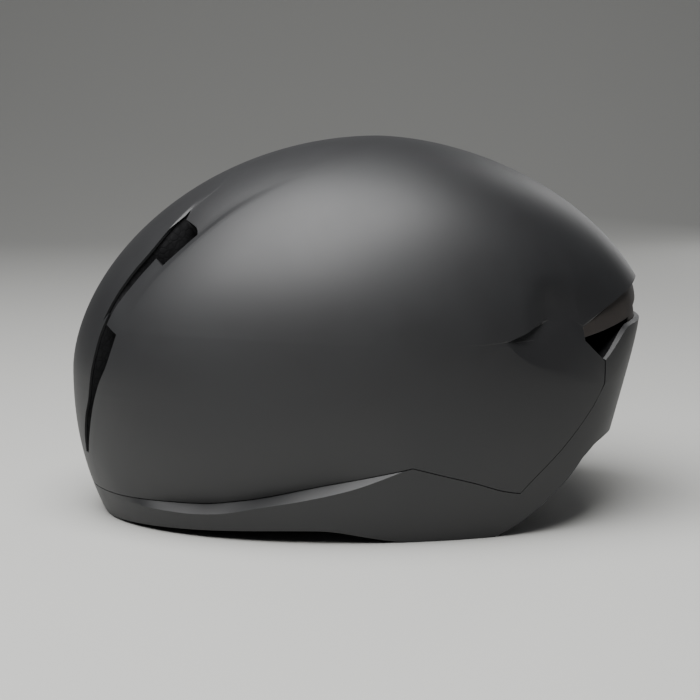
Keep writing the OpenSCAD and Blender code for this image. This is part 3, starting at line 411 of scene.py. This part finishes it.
def tail_inset(place, direction, z):
    """How far the facet, and the band between the two tails, lie behind the dome."""
    if place < 4 or direction <= 112:
        return 0.0
    facet, lip, depth = facet_at(direction), lip_at(direction), recess_at(direction)
    at_lip = depth * valley_at(direction)
    if place >= 9:
        return at_lip * (1 - ease((z - lip) / VALLEY_FADE))
    under = lip - under_at(direction)
    sloped = mix(at_lip, depth, clamp((lip - z) / (lip - under)))
    sloped *= clamp((z - facet) / (under - facet))
    at_rows = [0, 0, depth, depth, depth, at_lip]
    row = int(place)
    stepped = mix(at_rows[row - 4], at_rows[row - 3], place - row)
    return mix(sloped, stepped, clamp((direction - 134) / 5))


def inset(place, column, direction, z):
    total = tail_inset(place, direction, z)
    above_seam = (z - seam_at(direction)) / CREASE_FADE
    crease = LEDGE_DEPTH * crease_at(direction)
    if 1 <= place < 2:
        total += crease * (place - 1)
    elif place >= 2 and above_seam < 1:
        total += crease * (1 - above_seam) ** 2
    if place > 9 and 2 < column < 6:
        floor_depth = mix(floor_in_at(z), floor_out_at(z), clamp((column - 3) / 2))
        total += floor_depth * min(ease(column - 2), ease(6 - column)) * ease(place - 9)
    return total


def form_point(column, side, place, drop=0.0):
    """One point of the outside, in metres. side is 1 for the left half and -1 for the right."""
    z = height(place, guess_direction(column)) + front_lean(place, column)
    direction = direction_of(column, z)
    z -= drop
    if place < 8:
        radius = lower_radius(direction, z)
    elif place < 9:
        radius = mix(lower_radius(direction, z), upper_radius(direction, z), place - 8)
    else:
        radius = upper_radius(direction, z)
    radius -= inset(place, column, direction, z)
    a = math.radians(direction)
    return Vector((side * radius * math.sin(a), CROWN_Y - radius * math.cos(a), z)) * MM


half = finer(COLUMN_CUTS)
COLUMN_PLACES = [(c, 1) for c in half] + [(c, -1) for c in reversed(half[:-1])]
ROW_PLACES = finer(ROW_CUTS)
print("grid of", len(COLUMN_PLACES) - 1, "by", len(ROW_PLACES) - 1, "cells")

# %% [markdown]
# ## Which cells belong to which piece
# The narrow front slots, the two vents beside the spine and the ports in the tail are left open by
# leaving cells out. The skin also leaves out the spine's flank along the vents, where the dark foam
# shows. Below the seam the cells go to the lower skin, and behind the gill the band between the two
# tails goes to the tail trim.

# %% Cells of the pieces
VENT_FROM = 23
SEAM_END = 24
REAR_SEAM = 0.05


def is_front_vent(row, column):
    if column in (3, 4) and (3 <= row <= 7 or row in (11, 12)):
        return True
    return column == 3 and 8 <= row <= 10


def is_exhaust(row, column):
    return row == 6 and (VENT_FROM <= column <= VENT_FROM + 2 or column in (27, 28))


def is_lower(row, column):
    return row < 2 or (row < 6 and column >= SEAM_END)


def is_tail_band(row, column):
    return (row in (6, 7) and column >= VENT_FROM) or (row == 5 and column >= SEAM_END)


def is_spine_flank(row, column):
    return column == 2 and 9 <= row <= 12


def is_upper(row, column):
    left_out = is_front_vent(row, column) or is_spine_flank(row, column)
    return not (left_out or is_lower(row, column) or is_tail_band(row, column))


def is_tail_trim(row, column):
    return row in (6, 7) and column >= VENT_FROM and not is_exhaust(row, column)


def is_foam(row, column):
    return not is_front_vent(row, column) and not is_exhaust(row, column)


# %% Grid to mesh
def skin_mesh(kept, drop_at_seam=0.0):
    """A bmesh of the kept cells: a flat grid, cut out and then wrapped round the dome."""
    across, along = len(COLUMN_PLACES) - 1, len(ROW_PLACES) - 1
    bm = bmesh.new()
    bmesh.ops.create_grid(bm, x_segments=across, y_segments=along, size=0.5)
    assert len(bm.verts) == (across + 1) * (along + 1), len(bm.verts)
    holes = []
    for face in bm.faces:
        middle = face.calc_center_median()
        here, there = [int((middle.x + 0.5) * across + k) for k in (0, 1)]
        column = int(min(COLUMN_PLACES[here][0], COLUMN_PLACES[there][0]))
        row = int(ROW_PLACES[int((middle.y + 0.5) * along)])
        if not kept(row, column):
            holes.append(face)
    bmesh.ops.delete(bm, geom=holes, context="FACES")
    for vert in bm.verts:
        column, side = COLUMN_PLACES[round((vert.co.x + 0.5) * across)]
        place = ROW_PLACES[round((vert.co.y + 0.5) * along)]
        drop = drop_at_seam * clamp(place - 1) if place <= 2 else 0.0
        if drop_at_seam and column == SEAM_END and place >= 2:
            column += REAR_SEAM
        vert.co = form_point(column, side, place, drop)
    bmesh.ops.remove_doubles(bm, verts=bm.verts, dist=0.01 * MM)
    bmesh.ops.recalc_face_normals(bm, faces=bm.faces)
    outward = sum(f.normal.dot(f.calc_center_median() - Vector((0, 0.01, 0.06))) * f.calc_area()
                  for f in bm.faces)
    if outward < 0:
        bmesh.ops.reverse_faces(bm, faces=bm.faces)
    return bm


def finish_piece(bm, name, material, body, replaces=()):
    """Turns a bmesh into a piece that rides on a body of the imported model."""
    mesh = bpy.data.meshes.new(name)
    bm.to_mesh(mesh)
    bm.free()
    mesh.materials.append(material)
    mesh.shade_smooth()
    piece = bpy.data.objects.new(name, mesh)
    bpy.context.scene.collection.objects.link(piece)
    if body:
        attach(piece, body)
    if replaces:
        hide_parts(*replaces)
    return piece


def give_wall(piece, wall, edge, segments=2):
    """A wall inwards from the surface, then a small round on its sharp edges."""
    solid = piece.modifiers.new("wall", "SOLIDIFY")
    solid.thickness = wall * MM
    solid.offset = -1
    solid.use_even_offset = True
    round_edges = piece.modifiers.new("edge", "BEVEL")
    round_edges.width = edge * MM
    round_edges.segments = segments
    round_edges.limit_method = "ANGLE"
    round_edges.angle_limit = math.radians(40)
    round_edges.use_clamp_overlap = True
    piece.data.shade_smooth()
    smooth = piece.modifiers.new("normals", "WEIGHTED_NORMAL")
    smooth.keep_sharp = True
    return piece


# %% [markdown]
# ## The upper skin
# This is the part that the eye meets: one smooth painted shell from the ledge over the crown to the
# lip above the tail, with the spine at the front between two slots. On the real helmet it is a sheet
# a little over a millimetre thick, and its trimmed edges are rounded and catch a thin line of
# light. A Solidify modifier gives the sheet its thickness inwards, and a Bevel its edge.

# %% Upper skin
upper = finish_piece(skin_mesh(is_upper), "upper_skin", PAINT, "helmet",
                     replaces=("outer_shell",))
give_wall(upper, 1.2, 0.35)
print("upper skin", len(upper.data.polygons), "faces")

# %% [markdown]
# ## The lower skin
# The lower skin wraps the rim and ends upwards in the ledge, the small shelf that the brow of the
# upper skin sits back behind. At the rear it rises to the gill. It stays four tenths of a
# millimetre below the upper skin, which is the hairline of the seam.

# %% Lower skin
lower = finish_piece(skin_mesh(is_lower, drop_at_seam=0.4), "lower_skin", PAINT, "helmet",
                     replaces=("lower_shell",))
give_wall(lower, 1.2, 0.55, segments=3)
print("lower skin", len(lower.data.polygons), "faces")

# %% [markdown]
# ## The tail trim
# Between the upper and the lower tail sits a band of bare moulded nylon, a millimetre or two behind
# the skins. It isn't painted: it is a little browner and lighter than they are, with the fine spark
# texture of its mould, whose grains are drawn 0.4 mm across so that they show. The exhaust ports
# are left open in it.

# %% Moulded nylon
def moulded_nylon(name="spark_textured_moulded_nylon", dark="#151517", light="#1e1e20",
                  rough=(0.5, 0.62)):
    material, tree, shader = new_material(name, dark, 0.55, IOR=1.53)
    where = add_node(tree, "ShaderNodeTexCoord")
    grains = add_node(tree, "ShaderNodeTexNoise", [(where, "Object", "Vector")],
                      inputs={"Scale": 1 / (0.4 * MM), "Detail": 3.0, "Roughness": 0.6})
    wear = add_node(tree, "ShaderNodeTexNoise", [(where, "Object", "Vector")],
                    inputs={"Scale": 1 / (14 * MM), "Detail": 5.0, "Roughness": 0.65})
    tint = add_node(tree, "ShaderNodeValToRGB", [(wear, "Fac", "Fac")])
    set_ramp(tint, [(0.35, dark), (0.7, light)])
    tree.links.new(tint.outputs["Color"], shader.inputs["Base Color"])
    gloss = add_node(tree, "ShaderNodeMapRange", [(wear, "Fac", "Value")],
                     inputs={"From Min": 0.3, "From Max": 0.7, "To Min": rough[0],
                             "To Max": rough[1]})
    tree.links.new(gloss.outputs["Result"], shader.inputs["Roughness"])
    bump = add_node(tree, "ShaderNodeBump", [(grains, "Fac", "Height")],
                    inputs={"Strength": 0.35, "Distance": 0.06 * MM})
    tree.links.new(bump.outputs["Normal"], shader.inputs["Normal"])
    return material


NYLON = moulded_nylon()
TRIM_NYLON = moulded_nylon("bare_nylon_of_the_tail_trim", "#2a2624", "#36312e", (0.48, 0.6))
print("made", NYLON.name, "and", TRIM_NYLON.name)

# %% Tail trim
trim = finish_piece(skin_mesh(is_tail_trim), "tail_trim", TRIM_NYLON, "helmet",
                    replaces=("tail_insert",))
give_wall(trim, 1.2, 0.25)
print("tail trim", len(trim.data.polygons), "faces")

# %% [markdown]
# ## The foam liner
# The liner is expanded polystyrene, steamed in a mould from beads 2 to 4 mm across that press flat
# against each other. Its outside follows the skins and its inside is the head cavity, so the same
# grid makes it: a Solidify step gives every outer point an inner twin, and the twins are then moved
# to the wall of the cavity. Four shallow air channels are pressed into that wall, from the vents in
# front to the ports behind.

# %% Bead foam
def bead_foam():
    material, tree, shader = new_material("steam_moulded_bead_foam", "#0c0c0d", 0.75, IOR=1.55,
                                          Specular_IOR_Level=0.2)
    where = add_node(tree, "ShaderNodeTexCoord")
    beads = add_node(tree, "ShaderNodeTexVoronoi", [(where, "Object", "Vector")],
                     feature="DISTANCE_TO_EDGE", inputs={"Scale": 1 / (3.2 * MM)})
    each = add_node(tree, "ShaderNodeTexVoronoi", [(where, "Object", "Vector")],
                    feature="F1", inputs={"Scale": 1 / (3.2 * MM)})
    tint = add_node(tree, "ShaderNodeMapRange", [(beads, "Distance", "Value")],
                    inputs={"From Min": 0.0, "From Max": 0.12})
    colour = add_node(tree, "ShaderNodeValToRGB", [(tint, "Result", "Fac")])
    set_ramp(colour, [(0.0, "#08080a"), (1.0, "#101012")])
    tree.links.new(colour.outputs["Color"], shader.inputs["Base Color"])
    gloss = add_node(tree, "ShaderNodeMapRange", [(each, "Distance", "Value")],
                     inputs={"From Min": 0.0, "From Max": 0.8, "To Min": 0.65, "To Max": 0.85})
    tree.links.new(gloss.outputs["Result"], shader.inputs["Roughness"])
    bump = add_node(tree, "ShaderNodeBump", [(tint, "Result", "Height")],
                    inputs={"Strength": 0.35, "Distance": 0.2 * MM})
    tree.links.new(bump.outputs["Normal"], shader.inputs["Normal"])
    return material


FOAM = bead_foam()

# %% Head cavity
CAVITY = Vector((83, 104, 110))
CAVITY_CENTRE = Vector((0, -1.8, 28))
GROOVE_LINES = (16.0, 44.0)
GROOVE_HALF, GROOVE_DEPTH = 7.0, 6.0


def cavity_wall(point):
    """The point of the head cavity's wall that faces a point of the outside, both in metres."""
    d = point / MM - CAVITY_CENTRE
    flat = math.hypot(d.x / CAVITY.x, d.y / CAVITY.y)
    if d.z <= 0:
        return (CAVITY_CENTRE + Vector((d.x / flat, d.y / flat, d.z))) * MM
    return (CAVITY_CENTRE + d / math.hypot(flat, d.z / CAVITY.z)) * MM


def groove(point):
    """Depth of the pressed air channels at a point of the wall, in millimetres."""
    x, y, z = point / MM
    across = max(ease(1 - abs(abs(x) - line) / GROOVE_HALF) for line in GROOVE_LINES)
    return GROOVE_DEPTH * across * ease((z - 78) / 12)


def foam_mesh():
    bm = skin_mesh(is_foam)
    outside = list(bm.verts)
    for vert in outside:
        vert.co -= vert.normal * 1.5 * MM
    for vert in outside:
        if vert.co.z < 0:
            vert.co.z = 0
    bmesh.ops.solidify(bm, geom=bm.faces[:], thickness=2 * MM)
    bm.verts.index_update()
    for vert in bm.verts:
        if vert.index >= len(outside):
            wall = cavity_wall(vert.co)
            vert.co = wall + (wall - CAVITY_CENTRE * MM).normalized() * groove(wall) * MM
    bmesh.ops.recalc_face_normals(bm, faces=bm.faces)
    return bm


foam = finish_piece(foam_mesh(), "foam_core", FOAM, "helmet", replaces=("foam_liner", "foam_crown"))
sharp = foam.modifiers.new("edge", "BEVEL")
sharp.width, sharp.segments, sharp.limit_method = 0.8 * MM, 2, "ANGLE"
sharp.angle_limit = math.radians(50)
print("foam", len(foam.data.polygons), "faces", [round(v, 4) for v in foam.dimensions])

# %% [markdown]
# ## Cushions
# Each pad is a slice of soft foam in a brushed knit cover, heat-sealed round its edge and held to
# the liner by hook tape. It follows the wall of the cavity, so a sphere is pressed onto that wall:
# its latitude becomes the pad's thickness and its longitude the rounded outline. A shallow sealed
# line runs inside the edge, as on the real pad.

# %% Brushed knit
def brushed_knit():
    material, tree, shader = new_material("brushed_polyester_knit", "#17171a", 0.85,
                                          Sheen_Weight=0.35, Sheen_Roughness=0.5)
    where = add_node(tree, "ShaderNodeTexCoord")
    loops = add_node(tree, "ShaderNodeTexVoronoi", [(where, "Object", "Vector")],
                     feature="F1", inputs={"Scale": 1 / (0.9 * MM), "Randomness": 0.35})
    nap = add_node(tree, "ShaderNodeTexNoise", [(where, "Object", "Vector")],
                   inputs={"Scale": 1 / (6 * MM), "Detail": 6.0, "Roughness": 0.7})
    tint = add_node(tree, "ShaderNodeValToRGB", [(nap, "Fac", "Fac")])
    set_ramp(tint, [(0.3, "#131316"), (0.7, "#202024")])
    tree.links.new(tint.outputs["Color"], shader.inputs["Base Color"])
    bump = add_node(tree, "ShaderNodeBump", [(loops, "Distance", "Height")],
                    inputs={"Strength": 0.5, "Distance": 0.15 * MM})
    tree.links.new(bump.outputs["Normal"], shader.inputs["Normal"])
    return material


KNIT = brushed_knit()

# %% Pads on the cavity wall
PAD_SEAT = 2.6
PAD_PROFILE = [(0, 0), (0.55, 0), (0.9, 0), (1, 0.22), (1.02, 0.5), (0.95, 0.74), (0.88, 0.8),
               (0.82, 0.74), (0.76, 0.86), (0.6, 0.98), (0.3, 1), (0, 1)]


def profile(share):
    """Place along a pad's cross-section: share of its outline and share of its thickness."""
    place = share * (len(PAD_PROFILE) - 1)
    k = min(int(place), len(PAD_PROFILE) - 2)
    (r0, h0), (r1, h1) = PAD_PROFILE[k], PAD_PROFILE[k + 1]
    return mix(r0, r1, place - k), mix(h0, h1, place - k)


def square_round(angle):
    def power(v):
        return math.copysign(abs(v) ** 0.62, v)
    return power(math.cos(angle)), power(math.sin(angle))


def pressed_sphere(place):
    """A sphere whose points go where place(outline x, outline y, thickness share) says."""
    bm = bmesh.new()
    bmesh.ops.create_uvsphere(bm, u_segments=56, v_segments=33, radius=1)
    for vert in bm.verts:
        polar = math.acos(clamp(-vert.co.z, -1, 1)) / math.pi
        angle = math.atan2(vert.co.y, vert.co.x)
        reach, thick = profile(polar)
        fx, fy = square_round(angle)
        vert.co = place(reach * fx, reach * fy, thick)
    bmesh.ops.remove_doubles(bm, verts=bm.verts, dist=0.005 * MM)
    bmesh.ops.recalc_face_normals(bm, faces=bm.faces)
    return bm


def cavity_pad(name, node, towards, along, across, size, thickness, mirror=1):
    towards, along, across = Vector(towards), Vector(along), Vector(across)

    def place(x, y, share):
        d = towards + along * size[0] * x + across * size[1] * y
        wall = d / Vector(d[k] / CAVITY[k] for k in range(3)).length
        out = Vector(wall[k] / CAVITY[k] ** 2 for k in range(3)).normalized()
        point = CAVITY_CENTRE + wall - out * (PAD_SEAT + thickness * share)
        return Vector((mirror * point.x, point.y, point.z)) * MM
    piece = finish_piece(pressed_sphere(place), name, KNIT, "helmet", (node,))
    return piece


CROWN_SIDE, SIDE = (0.66, -0.05, 1), (1, -0.05, 0.44)
cavity_pad("brow_cushion", "brow_pad", (0, -1, 0.24), (1, 0, 0), (0, 0, 1), (0.72, 0.1), 6)
cavity_pad("crown_cushion", "crown_pad", (0, -0.1, 1), (1, 0, 0), (0, 1, 0), (0.15, 0.42), 7)
for mirror, hand in ((1, "left"), (-1, "right")):
    cavity_pad("crown_cushion_" + hand, "crown_pad_" + hand, CROWN_SIDE, (1, 0, -0.66),
               (0, 1, 0), (0.13, 0.46), 7, mirror)
    cavity_pad("side_cushion_" + hand, "side_pad_" + hand, SIDE, (0, 1, 0), (-0.44, 0, 1),
               (0.4, 0.13), 7, mirror)

# %% Pads on the cradle
PIN_Y, BAND_Z, CASE_IN, CASE_HALF, CASE_X = -100.3, 28, 178.9, 9.8, 26


def cradle_pad(hand, mirror):
    def place(x, y, share):
        a = (CASE_X / 2 + 1 + (CASE_X / 2 - 3) * x) / CASE_IN
        r = CASE_IN - 0.3 - 4 * share
        return Vector((mirror * r * math.sin(a), PIN_Y + r * math.cos(a),
                       BAND_Z + (CASE_HALF - 0.5) * y)) * MM
    piece = finish_piece(pressed_sphere(place), "cradle_cushion_" + hand, KNIT, "cradle",
                         ("cradle_pad_" + hand,))


cradle_pad("left", 1)
cradle_pad("right", -1)
print("pads", [o.name for o in bpy.data.objects if "cushion" in o.name])

# %% [markdown]
# ## Webbing
# The straps are polyester webbing 15 mm wide and 1.5 mm thick, woven with a herringbone face and a
# round selvedge. Each lies along the same smooth route as its solid. A strip of a grid is bent along
# the route and given its thickness, and its own map, in millimetres along and across the strap,
# carries the weave round every bend.

# %% Woven webbing
def woven_webbing():
    material, tree, shader = new_material("herringbone_polyester_webbing", "#121214", 0.7,
                                          Sheen_Weight=0.2, Sheen_Roughness=0.4)
    where = add_node(tree, "ShaderNodeUVMap", uv_map="strap")
    apart = add_node(tree, "ShaderNodeSeparateXYZ", [(where, "UV", "Vector")])
    fold = add_node(tree, "ShaderNodeMath", [(apart, "X", 0)], operation="PINGPONG",
                    inputs={1: 1.9})
    slant = add_node(tree, "ShaderNodeMath", [(fold, "Value", 0), (apart, "Y", 1)],
                     operation="ADD")
    wave = add_node(tree, "ShaderNodeMath", [(slant, "Value", 0)], operation="PINGPONG",
                    inputs={1: 0.45})
    tint = add_node(tree, "ShaderNodeMapRange", [(wave, "Value", "Value")],
                    inputs={"From Min": 0.0, "From Max": 0.45})
    colour = add_node(tree, "ShaderNodeValToRGB", [(tint, "Result", "Fac")])
    set_ramp(colour, [(0.0, "#0b0b0c"), (1.0, "#1b1b1e")])
    tree.links.new(colour.outputs["Color"], shader.inputs["Base Color"])
    bump = add_node(tree, "ShaderNodeBump", [(tint, "Result", "Height")],
                    inputs={"Strength": 0.6, "Distance": 0.2 * MM})
    tree.links.new(bump.outputs["Normal"], shader.inputs["Normal"])
    return material


WEBBING = woven_webbing()
STRAP_W, STRAP_T, STRAP_Z = 15, 1.5, 1.15


def bezier(p, t):
    return (p[0] * (1 - t) ** 3 + p[1] * 3 * t * (1 - t) ** 2
            + p[2] * 3 * t * t * (1 - t) + p[3] * t ** 3)


def strap_strip(name, node, route, mirror=1, body="helmet"):
    """route(t) gives a point and the level direction of the width in degrees, both for t 0 to 1."""
    rows, columns = 72, 10
    centre = [route(k / rows)[0] for k in range(rows + 1)]
    length = [0.0]
    for a, b in zip(centre, centre[1:]):
        length.append(length[-1] + (b - a).length)
    bm = bmesh.new()
    weave = bm.loops.layers.uv.new("strap")
    bmesh.ops.create_grid(bm, x_segments=columns, y_segments=rows, size=0.5)
    cells = {v: (v.co.x, round((v.co.y + 0.5) * rows)) for v in bm.verts}
    for face in bm.faces:
        for loop in face.loops:
            x, k = cells[loop.vert]
            loop[weave].uv = (STRAP_W * (x + 0.5), length[k])
    for vert, (x, k) in cells.items():
        a = math.radians(route(k / rows)[1])
        point = centre[k] + Vector((math.cos(a), math.sin(a), 0)) * STRAP_W * x
        vert.co = Vector((mirror * point.x, point.y, point.z)) * MM
    bmesh.ops.recalc_face_normals(bm, faces=bm.faces)
    piece = finish_piece(bm, name, WEBBING, body, (node,))
    solid = piece.modifiers.new("thickness", "SOLIDIFY")
    solid.thickness, solid.offset = STRAP_T * MM, 0
    edge = piece.modifiers.new("selvedge", "BEVEL")
    edge.width, edge.segments, edge.limit_method = 0.5 * MM, 2, "ANGLE"
    edge.angle_limit = math.radians(60)
    print(name, "is", round(length[-1], 1), "mm long")
    return piece


# %% Side straps
DIVIDER, POCKET = Vector((48, 2.2, 0)), 5.2


def side_route(points, top, turn_from, turn_to):
    def route(t):
        q = bezier(points, t)
        q.z = mix(STRAP_Z, top, (1 - t) ** 3.5)
        return q, mix(turn_from, turn_to, ease(t))
    return route


half_turn = math.radians(60)
front_end = DIVIDER + POCKET * Vector((math.cos(half_turn), -math.sin(half_turn), 0))
rear_end = DIVIDER + POCKET * Vector((math.cos(half_turn), math.sin(half_turn), 0))
front_route = side_route([Vector((76.8, -36.4, 0)), Vector((72, -30.8, 0)), Vector((55, -9.8, 0)),
                          front_end], 20, 74, 30)
rear_route = side_route([Vector((73.5, 42.7, 0)), Vector((69, 38.2, 0)), Vector((55, 14.2, 0)),
                         rear_end], 13, 111, 150)
for mirror, hand in ((1, "left"), (-1, "right")):
    strap_strip("front_strap_" + hand, "strap_front_" + hand, front_route, mirror)
    strap_strip("rear_strap_" + hand, "strap_rear_" + hand, rear_route, mirror)

# %% Chin straps
BUCKLE = Vector((12.5, 33.2, 0))
chin_points = [DIVIDER - Vector((POCKET, 0, 0)), DIVIDER - Vector((POCKET + 19, 0, 0)),
               BUCKLE + Vector((19, 0, 0)), BUCKLE]


def chin_route(end_z):
    def route(t):
        q = bezier(chin_points, t)
        ahead = bezier(chin_points, min(t + 0.001, 1)) - bezier(chin_points, max(t - 0.001, 0))
        q.z = mix(STRAP_Z, end_z, ease(t)) + 9 * math.sin(math.pi * t) ** 4
        return q, math.degrees(math.atan2(ahead.y, ahead.x)) - 90
    return route


strap_strip("chin_webbing_left", "chin_strap_left", chin_route(2.9))
chin_right = strap_strip("chin_webbing_right", "chin_strap_right", chin_route(7.3), -1, None)
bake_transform(chin_right)

# %% [markdown]
# ## The moulded parts of the fit system
# The dial, its case, the headband with its racks and the buckle are small nylon mouldings whose
# solids are already exact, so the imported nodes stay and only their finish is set. The pin and the
# screw are bare steel, and the keeper is soft rubber.

# %% Steel and rubber
def drawn_steel():
    material, tree, shader = new_material("drawn_stainless_wire", "#9a9a98", 0.3, Metallic=1.0)
    where = add_node(tree, "ShaderNodeTexCoord")
    stretch = add_node(tree, "ShaderNodeMapping", [(where, "Object", "Vector")],
                       inputs={"Scale": (1, 1, 0.05)})
    lines = add_node(tree, "ShaderNodeTexNoise", [(stretch, "Vector", "Vector")],
                     inputs={"Scale": 1 / (0.12 * MM), "Detail": 2.0})
    gloss = add_node(tree, "ShaderNodeMapRange", [(lines, "Fac", "Value")],
                     inputs={"From Min": 0.3, "From Max": 0.7, "To Min": 0.22, "To Max": 0.4})
    tree.links.new(gloss.outputs["Result"], shader.inputs["Roughness"])
    return material


STEEL = drawn_steel()
RUBBER = moulded_nylon("soft_moulded_rubber", "#0f0f10", "#161617", (0.7, 0.82))
HOOK_TAPE = brushed_knit()
HOOK_TAPE.name = "hook_tape"
for name, node in frame["nodes"].items():
    finish = {"brow_pin": STEEL, "dial_screw": STEEL, "strap_keeper": RUBBER,
              "pad_hooks": HOOK_TAPE}.get(name, NYLON)
    node.data.materials.clear()
    node.data.materials.append(finish)
print("finished", len(frame["nodes"]), "nodes")

# %% [markdown]
# ## Floor and light
# The floor is a sheet of pale paper that curves up far behind the helmet, so no edge shows. One
# wide softbox hangs over the crown, leaning to the camera and to the brow, and draws the broad
# highlight of the photograph along the top of the shell. A faint strip from behind parts the
# outline from the background.

# %% Floor
SWEEP_FROM, SWEEP_RADIUS = 1.5, 1.2
away = (AIM - eye).to_2d().normalized()
floor_bm = bmesh.new()
bmesh.ops.create_grid(floor_bm, x_segments=8, y_segments=96, size=3.2)
for vert in floor_bm.verts:
    across, along = vert.co.x, vert.co.y
    arc = clamp((along - SWEEP_FROM) / SWEEP_RADIUS, 0, math.pi / 2)
    beyond = max(0.0, along - SWEEP_FROM - SWEEP_RADIUS * math.pi / 2)
    ahead = min(along, SWEEP_FROM) + SWEEP_RADIUS * math.sin(arc)
    up = SWEEP_RADIUS * (1 - math.cos(arc)) + beyond
    vert.co = Vector((away.x * ahead - away.y * across, away.y * ahead + away.x * across, up))
bmesh.ops.recalc_face_normals(floor_bm, faces=floor_bm.faces)
floor_mesh = bpy.data.meshes.new("floor")
floor_bm.to_mesh(floor_mesh)
floor_bm.free()
floor_mesh.shade_smooth()
floor = bpy.data.objects.new("floor", floor_mesh)
bpy.context.scene.collection.objects.link(floor)
floor_mesh.materials.append(new_material("pale_paper_floor", "#b6b6b3", 0.8)[0])

# %% Light
def softbox(name, place, aim, size, power):
    data = bpy.data.lights.new(name, "AREA")
    data.shape, data.size, data.size_y, data.energy = "RECTANGLE", size[0], size[1], power
    lamp = bpy.data.objects.new(name, data)
    lamp.location = place
    lamp.rotation_euler = (Vector(aim) - Vector(place)).to_track_quat("-Z", "Y").to_euler()
    bpy.context.scene.collection.objects.link(lamp)
    return lamp


softbox("overhead", (0.3, -0.32, 1.15), (0, -0.03, 0.13), (1.3, 1.3), 42)
softbox("behind", (-1.2, 0.9, 0.6), (0, 0, 0.1), (0.3, 1.0), 3)
world = bpy.data.worlds.new("studio")
bpy.context.scene.world = world
world.use_nodes = True
world.node_tree.nodes["Background"].inputs["Color"].default_value = linear("#c9cbd0")
world.node_tree.nodes["Background"].inputs["Strength"].default_value = 0.1
